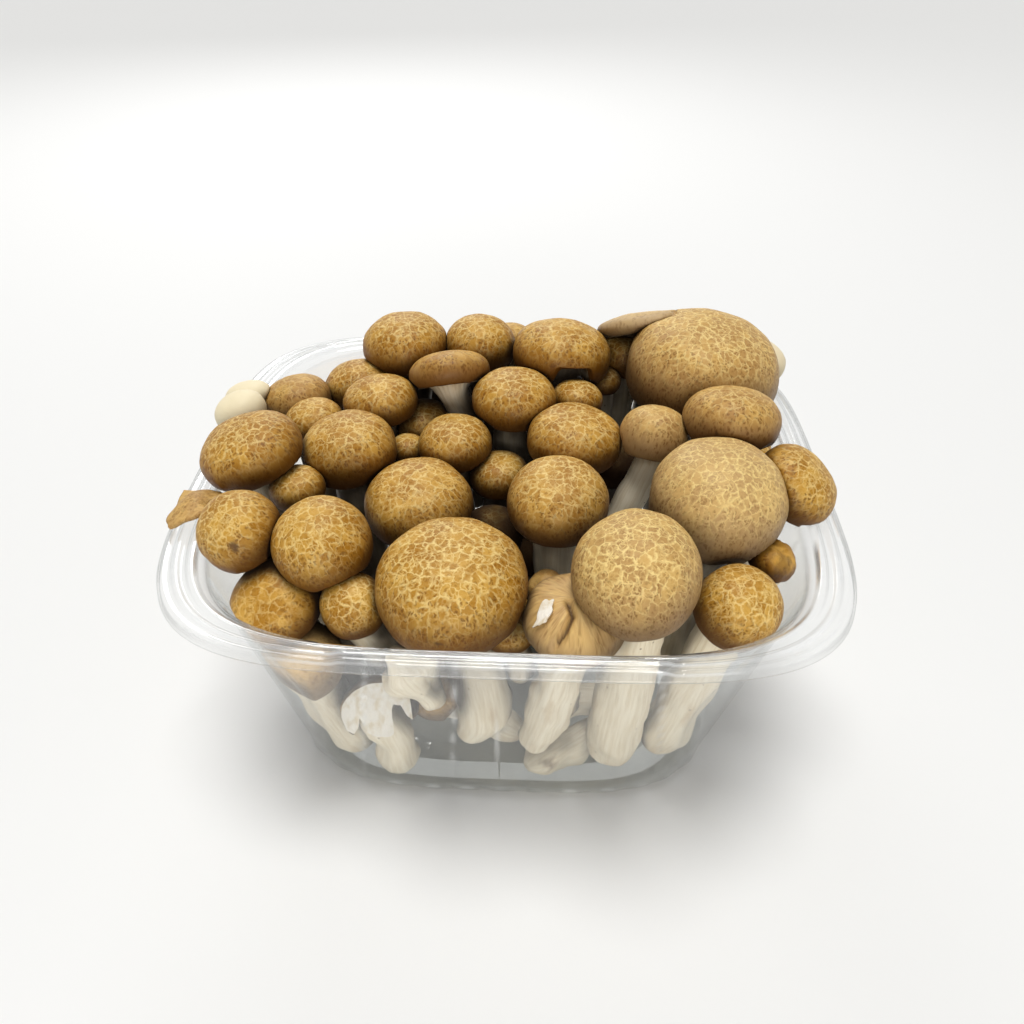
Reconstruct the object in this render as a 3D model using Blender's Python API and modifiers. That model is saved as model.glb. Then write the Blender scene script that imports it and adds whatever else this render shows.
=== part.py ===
"""Beech mushrooms heaped in a clear thermoformed punnet.

Frame: metres, +Z up, +X to the right and -Y towards the viewer of the photograph.
The origin is the centre of the punnet's foot, on the surface it stands on.

Every mushroom grew as one piece, so its cap and stem are one closed loft. A table in
whole millimetres places the caps and the feet, and the stems then bend clear of each
other, of the caps and of the punnet by a few rounds of relaxation.
"""

import math

import bmesh
import bpy
import numpy as np

NAME = "beech_mushroom_cluster"
MM = 0.001

# Punnet, outside sizes in millimetres.
RIM_WIDTH = 150.0
RIM_DEPTH = 135.5
RIM_HEIGHT = 62.0
RIM_POWER = 4.4
OPENING_WIDTH = 133.0
OPENING_DEPTH = 126.0
OPENING_POWER = 4.2
BASE_WIDTH = 102.0
BASE_DEPTH = 101.0
BASE_POWER = 4.0
FLOOR_LIFT = 1.0
LIP_DROP = 3.0
LIP_FLARE = 0.8
STEP_DEPTH = 1.2
STEP_WIDTH = 2.0
LIP_ROUND = 0.8
WALL_THICKNESS = 0.7
PUNNET_SIDES = 56

# Clearances in millimetres.
CONTACT_GAP = 0.36
NEAR_LIMIT = 1.0
FACE_GAP = 0.12
WALK_STEPS = 16
HALVINGS = 7
EASE_ROUNDS = 24
EASE_STEP = 0.96
WALL_GAP = 0.7
FLANGE_GAP = 0.4

# Relaxation of the stems.
STEM_NODES = 7
RELAX_ROUNDS = 260
PUSH = 0.45
SMOOTHING = 0.20
FOOT_PULL = 0.30
NECK_PULL = 0.60

# Cap outline: share of the cap's radius, share of its half height, and the least
# radius there over the stem's, so that a thick stem still has a margin round it.
CAP_PROFILE = (
    (0.41, 0.92, 0.0),
    (0.77, 0.63, 0.0),
    (0.97, 0.14, 0.0),
    (0.98, -0.38, 0.0),
    (0.83, -0.80, 1.32),
    (0.56, -0.72, 1.12),
)

# The mushroom that was cut through: its cap is thinner, and a plane at this angle takes
# away the front of the cap.
CUT_NAME = "halved"
CUT_PROFILE = (
    (0.42, 0.92, 0.0),
    (0.79, 0.62, 0.0),
    (0.98, 0.10, 0.0),
    (0.97, -0.45, 0.0),
    (0.84, -0.84, 1.45),
    (0.60, -0.15, 1.06),
)
CUT_POINT = (-28.0, -48.8, 28.5)
CUT_TURN = (0.0, -0.87, 0.49)
STEM_TOP_LEVEL = -0.55
STEM_STATIONS = (0.10, 0.34, 0.62, 0.88, 1.0)
STEM_SWELL = (0.96, 0.95, 1.00, 1.02, 0.74)
FOOT_ROUND = 0.50
BEND_WINDOW = 0.20

# Whole mushrooms, in millimetres: centre of the cap, cap diameter, half height of the
# cap over its radius, lean of the cap's axis to +X and +Y, radius of the stem, and the
# centre of the foot.
MUSHROOMS = {
    "back_left": ((-30, 40, 73), 23, 0.62, (-0.05, 0.05), 5.6, (-27, 36, 24)),
    "back_mid": ((-10, 41, 73), 19, 0.72, (0.0, 0.0), 5.0, (-9, 38, 26)),
    "back_small": ((-2, 52, 69), 12, 0.65, (0.0, 0.1), 4.0, (-2, 48, 28)),
    "back_split": ((12, 34, 75), 26, 0.56, (0.10, 0.15), 5.8, (10, 32, 22)),
    "back_flat": ((36, 44, 78), 30, 0.22, (-0.12, 0.50), 4.8, (40, 48, 24)),
    "back_corner": ((61, 43, 70), 24, 0.42, (0.10, 0.15), 4.6, (46, 40, 16)),
    "big_right": ((48, 28, 75), 39, 0.64, (0.10, 0.0), 7.6, (44, 24, 14)),
    "right_low_dome": ((51, 1, 76), 23, 0.58, (0.05, 0.28), 5.2, (48, 4, 28)),
    "right_pale": ((34, 2, 70), 17, 0.78, (0.15, 0.38), 3.8, (23, -6, 38)),
    "right_front_big": ((46, -21, 69), 30, 0.74, (0.05, -0.10), 6.5, (42, -20, 16)),
    "right_edge": ((65, -14, 68), 20, 0.62, (0.60, -0.15), 3.8, (50, -12, 32)),
    "front_right": ((49, -43, 57), 18, 0.85, (0.25, -0.30), 5.6, (41, -44, 9)),
    "front_dome": ((26, -47, 69), 26, 0.82, (-0.12, -0.20), 6.4, (28, -45, 9)),
    "centre": ((11, -18, 65), 23, 0.68, (0.0, -0.10), 5.6, (12, -18, 20)),
    "centre_right": ((15, 3, 68), 23, 0.54, (0.05, 0.0), 5.4, (14, 2, 18)),
    "centre_back": ((0, 16, 71), 21, 0.58, (0.0, 0.0), 5.2, (1, 14, 20)),
    "small_back_right": ((16, 20, 69), 13, 0.60, (0.10, 0.10), 3.8, (17, 18, 32)),
    "small_centre": ((-3, 1, 58), 15, 0.60, (0.0, 0.0), 4.2, (-4, -1, 18)),
    "centre_left": ((-14, 4, 65), 18, 0.62, (-0.05, 0.0), 4.8, (-14, 3, 20)),
    "left_shaded": ((-24, 21, 60), 16, 0.60, (-0.1, 0.0), 4.4, (-25, 20, 16)),
    "left_cut_margin": ((-17, 25, 73), 21, 0.46, (-0.15, 0.48), 4.2, (-10, 22, 34)),
    "left_centre": ((-21, -15, 61), 25, 0.60, (-0.05, -0.10), 5.6, (-20, -16, 14)),
    "front_big": ((-11, -43, 61), 32, 0.66, (-0.05, -0.12), 6.2, (-7, -43, 18)),
    "left_mid": ((-39, -1, 66), 23, 0.62, (-0.10, 0.0), 5.4, (-36, -2, 16)),
    "left_back": ((-34, 18, 68), 19, 0.56, (-0.10, 0.05), 4.8, (-33, 17, 26)),
    "left_rear": ((-42, 33, 64), 19, 0.60, (-0.15, 0.10), 4.8, (-39, 30, 20)),
    "left_rear_edge": ((-57, 24, 64), 18, 0.62, (-0.20, 0.10), 4.6, (-49, 22, 24)),
    "left_rear_small": ((-50, 12, 65), 15, 0.62, (-0.15, 0.0), 4.2, (-46, 10, 18)),
    "left_edge_big": ((-60, -9, 70), 24, 0.52, (-0.25, -0.05), 5.0, (-49, -6, 22)),
    "left_small": ((-49, -14, 63), 13, 0.62, (-0.1, -0.05), 3.8, (-46, -15, 22)),
    "left_front_edge": ((-57, -34, 66), 18, 0.78, (-0.40, -0.25), 4.8, (-48, -30, 24)),
    "left_front": ((-39, -36, 65), 21, 0.78, (-0.15, -0.20), 5.2, (-37, -32, 16)),
    "left_corner": ((-49, -42, 53), 20, 0.62, (-0.25, -0.45), 4.4, (-44, -27, 14)),
    "left_corner_small": ((-32, -43, 54), 14, 0.90, (0.0, -0.30), 4.4, (-27, -36, 20)),
    "left_low": ((-44, -46, 40), 18, 0.80, (-0.25, -0.20), 5.6, (-37, -44, 9)),
    "front_narrow": ((1, -41, 48), 13, 0.85, (0.0, -0.30), 3.4, (3, -41, 31)),
    "front_torn": ((9, -33, 51), 9, 0.75, (0.0, -0.2), 3.6, (15, -37, 18)),
    "front_cracked": ((15, -48, 57), 22, 0.54, (-0.05, -0.15), 5.0, (8, -46, 17)),
    "tiny_left": ((-26, 7, 61), 9, 0.60, (0.0, 0.0), 3.0, (-26, 6, 32)),
    "shaded_back_right": ((29, 42, 70), 15, 0.75, (0.0, 0.1), 4.0, (28, 38, 36)),
    "tiny_back_right": ((23, 33, 67), 10, 0.60, (0.0, 0.0), 3.2, (24, 32, 40)),
    "halved": ((-28, -46, 27), 18, 0.62, (-0.30, 0.40), 4.8, (-25, -45, 5)),
    "low_brown": ((-16, -38, 24), 15, 0.85, (-0.30, -0.25), 4.0, (3, -36, 7)),
    "right_torn_low": ((58, -30, 59), 10, 0.70, (0.2, -0.1), 3.4, (51, -27, 26)),
    "hidden_back_left": ((-46, 50, 55), 18, 0.60, (-0.2, 0.2), 4.8, (-38, 42, 16)),
    "hidden_back_mid": ((-25, 54, 58), 18, 0.60, (0.0, 0.25), 4.8, (-22, 45, 18)),
    "hidden_back": ((-8, 55, 54), 15, 0.60, (0.0, 0.2), 4.4, (-7, 46, 14)),
    "hidden_back_right": ((13, 53, 60), 19, 0.60, (0.0, 0.25), 5.0, (12, 44, 16)),
    "hidden_right": ((61, 12, 57), 16, 0.60, (0.25, 0.0), 4.6, (50, 10, 14)),
    "hidden_centre": ((-4, -13, 51), 15, 0.70, (0.0, 0.0), 3.4, (-2, -9, 14)),
    "hidden_middle": ((5, -7, 39), 11, 0.70, (0.0, 0.0), 3.2, (6, 6, 9)),
    "hidden_right_middle": ((26, 15, 53), 15, 0.70, (0.0, 0.0), 4.4, (22, 20, 14)),
}

# Caps that broke off and lie on the flange: centre, diameter, half height over radius,
# and the lean of the axis.
LOOSE_CAPS = {
    "left_cream": ((-68, 11, 68), 13, 0.62, (-0.30, 0.0)),
    "left_cream_back": ((-69, 22, 66), 12, 0.50, (-0.20, 0.15)),
}

# Broken stems that lie loose: the two ends, and the radius at each end.
STEM_PIECES = {
    "torn_stem": ((-20, -50, 48), (-18, -50, 33), 6.6, 3.0),
    "lying_stem": ((13, -37, 15), (27, -35, 14), 4.4, 4.0),
    "clump_base": ((8, -45, 6), (28, -38, 6), 4.4, 3.8),
}

# A curled scrap of a torn cap on the left flange.
SCRAP_CORNERS = ((-73.3, -31.5, 63.0), (-73.0, -20.0, 65.0),
                 (-66.0, -29.0, 65.5), (-64.7, -18.9, 64.0))
SCRAP_THICKNESS = 1.2
SCRAP_ARCH = 6.0

CAP_BROWN = (0.31, 0.21, 0.12)
CAP_PALE = (0.52, 0.41, 0.26)
STEM_CREAM = (0.74, 0.66, 0.52)
CLEAR_PLASTIC = (0.93, 0.95, 0.95)


def clear_scene():
    """Remove whatever objects the file opened with."""
    for item in list(bpy.data.objects):
        bpy.data.objects.remove(item, do_unlink=True)


def material(name, colour, roughness, alpha=1.0):
    """Return a Principled material of one colour."""
    finish = bpy.data.materials.new(name)
    finish.use_nodes = True
    shader = finish.node_tree.nodes["Principled BSDF"]
    shader.inputs["Base Color"].default_value = (*colour, 1.0)
    shader.inputs["Roughness"].default_value = roughness
    shader.inputs["Metallic"].default_value = 0.0
    shader.inputs["Alpha"].default_value = alpha
    return finish


def superellipse(width, depth, power, sides):
    """Return the points of a rounded rectangle, evenly spread by angle."""
    turn = np.linspace(0.0, 2.0 * math.pi, sides, endpoint=False)
    reach = (np.abs(np.cos(turn)) ** power + np.abs(np.sin(turn)) ** power) ** (-1.0 / power)
    return np.stack([width / 2 * reach * np.cos(turn), depth / 2 * reach * np.sin(turn)], axis=1)


def wall_share(height):
    """Return how far up the wall a height lies, from 0 at the foot to 1 at the opening."""
    return np.clip(height / (RIM_HEIGHT - STEP_DEPTH), 0.0, 1.0)


def fill_level(points, gap):
    """Return for each point how full the punnet's outline is there: 1 lies on the wall."""
    share = wall_share(points[:, 2])
    half_width = (BASE_WIDTH + (OPENING_WIDTH - BASE_WIDTH) * share) / 2 - WALL_THICKNESS - gap
    half_depth = (BASE_DEPTH + (OPENING_DEPTH - BASE_DEPTH) * share) / 2 - WALL_THICKNESS - gap
    power = BASE_POWER
    across = np.abs(points[:, 0]) / half_width
    along = np.abs(points[:, 1]) / half_depth
    return (across ** power + along ** power) ** (1.0 / power)


def in_free_space(points):
    """Tell which points lie inside the punnet's walls or above its flange."""
    above = points[:, 2] >= RIM_HEIGHT + FLANGE_GAP
    inside = (fill_level(points, WALL_GAP) <= 1.0) & (points[:, 2] >= floor_level() + FLANGE_GAP)
    return above | inside


def floor_level():
    """Return the height of the floor's upper face at the middle."""
    return FLOOR_LIFT + WALL_THICKNESS


def unit(vector):
    """Return the vector at length one."""
    return vector / np.linalg.norm(vector)


class Mushroom:
    """The measures and the bent centreline of one mushroom, in millimetres."""

    def __init__(self, name, row):
        centre, diameter, squat, lean, stem_radius, foot = row
        self.name = name
        self.centre = np.array(centre, float)
        self.radius = diameter / 2
        self.half_height = squat * diameter / 2
        upright = math.sqrt(max(0.0, 1.0 - lean[0] ** 2 - lean[1] ** 2))
        self.axis = np.array([lean[0], lean[1], upright])
        self.stem_radius = stem_radius
        self.foot = np.array(foot, float)
        side = unit(np.cross(self.axis, [0.0, 1.0, 0.1]))
        self.frame = np.array([side, np.cross(self.axis, side), self.axis])
        self.line = self.first_line()

    def first_line(self):
        """Return the stem's nodes before they are relaxed: leaving the cap along its axis."""
        start = self.centre + self.axis * STEM_TOP_LEVEL * self.half_height
        neck = start - self.axis * (0.2 * self.half_height + 0.4 * self.stem_radius)
        self.neck = neck
        steps = np.linspace(0.0, 1.0, STEM_NODES - 1)[:, None]
        return np.vstack([start, neck + (self.foot - neck) * steps])

    def cap_distance(self, points):
        """Return the distance of each point to the cap, negative inside."""
        sizes = np.array([self.radius, self.radius, self.half_height])
        local = (points - self.centre) @ self.frame.T
        near = np.linalg.norm(local / sizes, axis=1) + 1e-9
        slope = np.linalg.norm(local / sizes ** 2, axis=1) + 1e-9
        return near * (near - 1.0) / slope

    def stem_distance(self, points):
        """Return the distance of each point to the stem, negative inside."""
        best = np.full(len(points), 1e9)
        for start, end in zip(self.line[:-1], self.line[1:]):
            along = end - start
            share = np.clip((points - start) @ along / (along @ along), 0.0, 1.0)
            reach = np.linalg.norm(points - start - share[:, None] * along, axis=1)
            best = np.minimum(best, reach - self.stem_radius)
        return best

    def distance(self, points):
        """Return the distance of each point to the whole mushroom, negative inside."""
        return np.minimum(self.cap_distance(points), self.stem_distance(points))


class LooseCap(Mushroom):
    """A cap without its stem, hollowed underneath."""

    def __init__(self, name, row):
        centre, diameter, squat, lean = row
        super().__init__(name, (centre, diameter, squat, lean, 0.0, centre))
        self.line = np.repeat([self.line[0]], STEM_NODES, axis=0)

    def stem_distance(self, points):
        """Return a large distance everywhere, because there is no stem."""
        return np.full(len(points), 1e9)


class StemPiece(Mushroom):
    """A loose length of stem: a mushroom without its cap."""

    def __init__(self, name, row):
        start, end, start_radius, end_radius = row
        self.name = name
        self.start_radius = start_radius
        self.end_radius = end_radius
        self.stem_radius = max(start_radius, end_radius)
        steps = np.linspace(0.0, 1.0, STEM_NODES)[:, None]
        self.line = np.array(start, float) + (np.array(end, float) - np.array(start, float)) * steps
        self.foot = self.line[-1]
        self.neck = self.line[1]
        self.centre = self.line[0]

    def cap_distance(self, points):
        """Return a large distance everywhere, because there is no cap."""
        return np.full(len(points), 1e9)


def push_from_caps(mushrooms, nodes, radii, owner):
    """Return how far each stem node has to move to leave the caps.

    The first two nodes of a stem stay in their own cap.
    """
    move = np.zeros_like(nodes)
    step = np.tile(np.arange(STEM_NODES), len(mushrooms))
    for index, other in enumerate(mushrooms):
        depth = radii + CONTACT_GAP - other.cap_distance(nodes)
        inside = (depth > 0) & ((owner != index) | (step > 1))
        if not inside.any():
            continue
        away = nodes[inside] - other.centre
        away[:, 2] -= other.half_height
        away /= np.linalg.norm(away, axis=1)[:, None]
        move[inside] += away * depth[inside][:, None]
    return move


def push_from_stems(nodes, radii, owner):
    """Return how far each stem node has to move to leave the stems of the others."""
    apart = nodes[:, None] - nodes[None]
    reach = np.linalg.norm(apart, axis=2) + 1e-6
    depth = radii[:, None] + radii[None] + CONTACT_GAP - reach
    depth[owner[:, None] == owner[None]] = 0.0
    depth = np.clip(depth, 0.0, None)
    return (apart / reach[:, :, None] * depth[:, :, None]).sum(axis=1) / 2


def keep_inside(line, radius):
    """Move the nodes of one stem inside the walls and above the floor."""
    level = fill_level(line, WALL_GAP + radius)
    on_flange = (level > 1.0) & (line[:, 2] > RIM_HEIGHT - radius)
    line[on_flange, 2] = np.maximum(line[on_flange, 2], RIM_HEIGHT + FLANGE_GAP + radius)
    outside = (level > 1.0) & ~on_flange
    line[outside, :2] /= level[outside][:, None]
    line[:-1, 2] = np.maximum(line[:-1, 2], floor_level() + FLANGE_GAP + radius)
    line[-1, 2] = max(line[-1, 2], floor_level() + FLANGE_GAP + FOOT_ROUND * radius)
    return line


def relax(mushrooms):
    """Bend the stems clear of each other, of the caps and of the punnet."""
    radii = np.repeat([item.stem_radius for item in mushrooms], STEM_NODES)
    owner = np.repeat(np.arange(len(mushrooms)), STEM_NODES)
    for _ in range(RELAX_ROUNDS):
        nodes = np.vstack([item.line for item in mushrooms])
        moves = push_from_caps(mushrooms, nodes, radii, owner)
        moves += push_from_stems(nodes, radii, owner)
        moves = PUSH * moves.reshape(len(mushrooms), STEM_NODES, 3)
        for index, item in enumerate(mushrooms):
            if isinstance(item, LooseCap):
                continue
            line = item.line
            anchor = line[0].copy()
            neck = item.neck
            bend = np.zeros_like(line)
            bend[1:-1] = (line[:-2] + line[2:]) / 2 - line[1:-1]
            bend[-1] = (item.foot - line[-1]) * FOOT_PULL / SMOOTHING
            line = line + moves[index] + bend * SMOOTHING
            item.line = keep_inside(line, item.stem_radius)
            if not isinstance(item, StemPiece):
                item.line[0] = anchor
                item.line[1] += (neck - item.line[1]) * NECK_PULL


def settled_mushrooms():
    """Return every mushroom and loose stem with its centreline relaxed."""
    mushrooms = [Mushroom(name, row) for name, row in MUSHROOMS.items()]
    mushrooms += [LooseCap(name, row) for name, row in LOOSE_CAPS.items()]
    mushrooms += [StemPiece(name, row) for name, row in STEM_PIECES.items()]
    relax(mushrooms)
    return mushrooms


def at_station(line, share):
    """Return the point of the centreline at a share of its length, and its direction."""
    steps = np.linalg.norm(np.diff(line, axis=0), axis=1)
    reach = np.concatenate([[0.0], np.cumsum(steps)]) / steps.sum()
    point = np.array([np.interp(share, reach, line[:, axis]) for axis in range(3)])
    low = max(share - BEND_WINDOW, 0.0)
    high = min(share + BEND_WINDOW, 1.0)
    before = np.array([np.interp(low, reach, line[:, axis]) for axis in range(3)])
    after = np.array([np.interp(high, reach, line[:, axis]) for axis in range(3)])
    return point, unit(after - before)


def ring(centre, side, other, radius, count):
    """Return a circle of points about a centre, in the plane of two directions."""
    turn = np.linspace(0.0, 2.0 * math.pi, count, endpoint=False)
    return centre + radius * (np.cos(turn)[:, None] * side + np.sin(turn)[:, None] * other)


def stem_rings(line, side, stations, radii, count):
    """Return the rings along a centreline, with their centres, carried without twist."""
    rings = []
    centres = []
    for share, radius in zip(stations, radii):
        point, direction = at_station(line, share)
        side = unit(side - direction * (side @ direction))
        rings.append(ring(point, side, np.cross(side, direction), radius, count))
        centres.append(point)
    return rings, centres


def cap_rings(item, count):
    """Return the rings of a cap from its crown to the foot of its underside."""
    side = item.frame[0]
    other = np.cross(side, -item.axis)
    rings = []
    profile = CUT_PROFILE if item.name == CUT_NAME else CAP_PROFILE
    for out, level, least in profile:
        radius = max(out * item.radius, item.stem_radius * least)
        middle = item.centre + item.axis * level * item.half_height
        rings.append(ring(middle, side, other, radius, count))
    return rings, [item.centre] * len(rings)


def loose_cap_rings(item, count):
    """Return the rings of a cap that has no stem, and its two end points."""
    rings, centres = cap_rings(item, count)
    crown = item.centre + item.axis * item.half_height
    hollow = item.centre + item.axis * STEM_TOP_LEVEL * item.half_height
    return rings, centres, crown, hollow


def mushroom_rings(item, count):
    """Return the rings of a mushroom from the crown of the cap to its foot."""
    side = item.frame[0]
    rings, centres = cap_rings(item, count)
    radii = [swell * item.stem_radius for swell in STEM_SWELL]
    low_rings, low_centres = stem_rings(item.line, side, STEM_STATIONS, radii, count)
    crown = item.centre + item.axis * item.half_height
    tip = low_centres[-1] + at_station(item.line, 1.0)[1] * item.stem_radius * FOOT_ROUND
    return rings + low_rings, centres + low_centres, crown, tip


def piece_rings(item, count):
    """Return the rings of a loose stem from one rounded end to the other."""
    start, direction = at_station(item.line, 0.0)
    side = unit(np.cross(direction, [0.1, 0.2, 1.0]))
    stations = (0.0, 0.12, 0.45, 0.80, 1.0)
    ends = (0.72, 1.0, 1.0, 1.0, 0.70)
    radii = []
    for share, end in zip(stations, ends):
        radii.append(end * (item.start_radius + (item.end_radius - item.start_radius) * share))
    rings, centres = stem_rings(item.line, side, stations, radii, count)
    crown = start - direction * item.start_radius * FOOT_ROUND
    tip = centres[-1] + at_station(item.line, 1.0)[1] * item.end_radius * FOOT_ROUND
    return rings, centres, crown, tip


def ring_edges(rings, count):
    """Return pairs of point numbers that share an edge or a face of the loft."""
    turn = np.arange(count)
    after = (turn + 1) % count
    crown = np.full(count, rings * count)
    tip = crown + 1
    pairs = [(crown, turn), (tip, (rings - 1) * count + turn)]
    for row in range(rings):
        pairs.append((row * count + turn, row * count + after))
        if row + 1 < rings:
            below = (row + 1) * count
            pairs.append((row * count + turn, below + turn))
            pairs.append((row * count + turn, below + after))
            pairs.append((row * count + after, below + turn))
    return np.array([np.concatenate(ends) for ends in zip(*pairs)])


def ease_faces(points, hearts, share, edges, allowed):
    """Draw in the ends of every edge whose middle would cross a neighbour."""
    for _ in range(EASE_ROUNDS):
        place = hearts + (points - hearts) * share[:, None]
        hit = np.zeros(len(points), bool)
        for mix in (0.33, 0.67):
            middle = place[edges[0]] * (1 - mix) + place[edges[1]] * mix
            bad = ~allowed(middle, FACE_GAP)
            hit[edges[0][bad]] = True
            hit[edges[1][bad]] = True
        if not hit.any():
            break
        share = np.where(hit, share * EASE_STEP, share)
    return share


RING_MAKERS = {Mushroom: mushroom_rings, LooseCap: loose_cap_rings, StemPiece: piece_rings}


def clear_of_others(points, hearts, edges, item, mushrooms):
    """Pull points towards their hearts until they are nearer their own mushroom.

    Each point walks out from its heart and stops where its own mushroom is no longer
    nearer than every other by the contact gap. So two mushrooms that touch meet in a
    flat patch half way, and none crosses the punnet.
    """
    near = [other for other in mushrooms
            if other.name != item.name and other.distance(points).min() < NEAR_LIMIT]

    def allowed(place, gap=CONTACT_GAP):
        own = item.distance(place)
        free = in_free_space(place)
        for other in near:
            free &= other.distance(place) - own >= gap
        return free

    low = np.zeros(len(points))
    going = np.ones(len(points), bool)
    for share in np.linspace(0.0, 1.0, WALK_STEPS + 1)[1:]:
        going &= allowed(hearts + (points - hearts) * share)
        low = np.where(going, share, low)
    high = np.minimum(low + 1.0 / WALK_STEPS, 1.0)
    for _ in range(HALVINGS):
        middle = (low + high) / 2
        good = allowed(hearts + (points - hearts) * middle[:, None])
        low = np.where(good, middle, low)
        high = np.where(good, high, middle)
    share = ease_faces(points, hearts, low, edges, allowed)
    return hearts + (points - hearts) * share[:, None]


def loft(name, rings, crown, tip, finish, collection):
    """Skin the rings into one closed mesh with a point at either end."""
    mesh = bpy.data.meshes.new(name)
    build = bmesh.new()
    rows = [[build.verts.new(point * MM) for point in row] for row in rings]
    count = len(rows[0])
    top = build.verts.new(crown * MM)
    bottom = build.verts.new(tip * MM)
    for index in range(count):
        after = (index + 1) % count
        build.faces.new((top, rows[0][after], rows[0][index]))
        build.faces.new((bottom, rows[-1][index], rows[-1][after]))
        for upper, lower in zip(rows[:-1], rows[1:]):
            build.faces.new((upper[index], upper[after], lower[after], lower[index]))
    if name == CUT_NAME:
        cut_through(build)
    bmesh.ops.recalc_face_normals(build, faces=build.faces)
    build.to_mesh(mesh)
    build.free()
    mesh.shade_smooth()
    mesh.set_sharp_from_angle(angle=math.radians(60))
    mesh.materials.append(finish)
    item = bpy.data.objects.new(name, mesh)
    collection.objects.link(item)
    return item


def cut_through(build):
    """Cut away what stands in front of the cutting plane, and close the cut face."""
    parts = list(build.verts) + list(build.edges) + list(build.faces)
    cut = bmesh.ops.bisect_plane(
        build, geom=parts, plane_co=[value * MM for value in CUT_POINT], plane_no=CUT_TURN,
        clear_outer=True)
    edges = [part for part in cut["geom_cut"] if isinstance(part, bmesh.types.BMEdge)]
    bmesh.ops.holes_fill(build, edges=edges, sides=0)


def segments(item):
    """Return how many sides a mushroom is lofted with, by its size."""
    if item.name.startswith("hidden") or item.stem_radius < 3.9:
        return 8
    if item.stem_radius < 5.5:
        return 10
    return 12


def build_mushroom(item, mushrooms, finish, collection):
    """Loft one mushroom, clear of its neighbours and of the punnet."""
    count = segments(item)
    maker = RING_MAKERS[type(item)]
    rings, centres, crown, tip = maker(item, count)
    points = np.vstack(rings + [crown, tip])
    hearts = np.vstack([np.repeat([centre], count, axis=0) for centre in centres]
                       + [[centres[0]], [centres[-1]]])
    edges = ring_edges(len(rings), count)
    points = clear_of_others(points, hearts, edges, item, mushrooms)
    rings = [points[row * count:(row + 1) * count] for row in range(len(rings))]
    return loft(item.name, rings, points[-2], points[-1], finish, collection)


def build_scrap(finish, collection):
    """Make the curled scrap of torn cap from a bent patch with a thickness."""
    mesh = bpy.data.meshes.new("torn_scrap")
    build = bmesh.new()
    first, second, third, fourth = np.array(SCRAP_CORNERS)
    rows = []
    for across in np.linspace(0.0, 1.0, 5):
        row = []
        for along in np.linspace(0.0, 1.0, 6):
            near = first + (second - first) * along
            far = third + (fourth - third) * along
            point = near + (far - near) * across
            point[2] += SCRAP_ARCH * along * (1 - along) * across * (1 - across) * 4
            row.append(build.verts.new(point * MM))
        rows.append(row)
    for low, high in zip(rows[:-1], rows[1:]):
        for index in range(len(low) - 1):
            build.faces.new((low[index], high[index], high[index + 1], low[index + 1]))
    build.to_mesh(mesh)
    build.free()
    mesh.materials.append(finish)
    item = bpy.data.objects.new("torn_scrap", mesh)
    collection.objects.link(item)
    shell = item.modifiers.new("thickness", "SOLIDIFY")
    shell.thickness = SCRAP_THICKNESS * MM
    shell.offset = 0.0
    return item


def punnet_sections():
    """Return the sections of the punnet's under side, from the middle of its floor out.

    The wall's thickness is added on the upper and inner side, and outside the lip.
    """
    under = RIM_HEIGHT - WALL_THICKNESS
    lip_width = RIM_WIDTH - 2 * WALL_THICKNESS
    lip_depth = RIM_DEPTH - 2 * WALL_THICKNESS
    step = under - STEP_DEPTH
    sections = [
        (0.30 * BASE_WIDTH, 0.30 * BASE_DEPTH, BASE_POWER, FLOOR_LIFT),
        (0.70 * BASE_WIDTH, 0.70 * BASE_DEPTH, BASE_POWER, FLOOR_LIFT),
        (0.76 * BASE_WIDTH, 0.76 * BASE_DEPTH, BASE_POWER, 0.0),
        (0.92 * BASE_WIDTH, 0.92 * BASE_DEPTH, BASE_POWER, 0.0),
        (0.98 * BASE_WIDTH, 0.98 * BASE_DEPTH, BASE_POWER, 1.2),
    ]
    for share in (0.07, 0.38, 0.70, 1.0):
        width = BASE_WIDTH + (OPENING_WIDTH - BASE_WIDTH) * share
        depth = BASE_DEPTH + (OPENING_DEPTH - BASE_DEPTH) * share
        sections.append((width, depth, BASE_POWER, step * share))
    sections += [
        (OPENING_WIDTH + STEP_WIDTH, OPENING_DEPTH + STEP_WIDTH, OPENING_POWER, under),
        (lip_width - 2 * LIP_ROUND, lip_depth - 2 * LIP_ROUND, RIM_POWER, under),
        (lip_width - LIP_FLARE, lip_depth - LIP_FLARE, RIM_POWER, under - LIP_ROUND),
        (lip_width, lip_depth, RIM_POWER, under - LIP_DROP),
    ]
    return sections


def build_punnet(finish, collection):
    """Loft the punnet's outer face as an open sheet and give it its wall inwards."""
    mesh = bpy.data.meshes.new("punnet")
    build = bmesh.new()
    rows = []
    for width, depth, power, height in punnet_sections():
        outline = superellipse(width, depth, power, PUNNET_SIDES)
        rows.append([build.verts.new((x * MM, y * MM, height * MM)) for x, y in outline])
    middle = build.verts.new((0.0, 0.0, FLOOR_LIFT * MM))
    for index in range(PUNNET_SIDES):
        after = (index + 1) % PUNNET_SIDES
        build.faces.new((middle, rows[0][after], rows[0][index]))
        for inner, outer in zip(rows[:-1], rows[1:]):
            build.faces.new((inner[index], inner[after], outer[after], outer[index]))
    bmesh.ops.recalc_face_normals(build, faces=build.faces)
    build.faces.ensure_lookup_table()
    if build.faces[0].normal.z > 0:
        bmesh.ops.reverse_faces(build, faces=build.faces)
    build.to_mesh(mesh)
    build.free()
    mesh.shade_smooth()
    mesh.set_sharp_from_angle(angle=math.radians(35))
    mesh.materials.append(finish)
    item = bpy.data.objects.new("punnet", mesh)
    collection.objects.link(item)
    shell = item.modifiers.new("wall", "SOLIDIFY")
    shell.thickness = WALL_THICKNESS * MM
    shell.offset = -1.0
    return item


CAP_COLOURS = {Mushroom: CAP_BROWN, LooseCap: CAP_PALE, StemPiece: STEM_CREAM}


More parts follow.
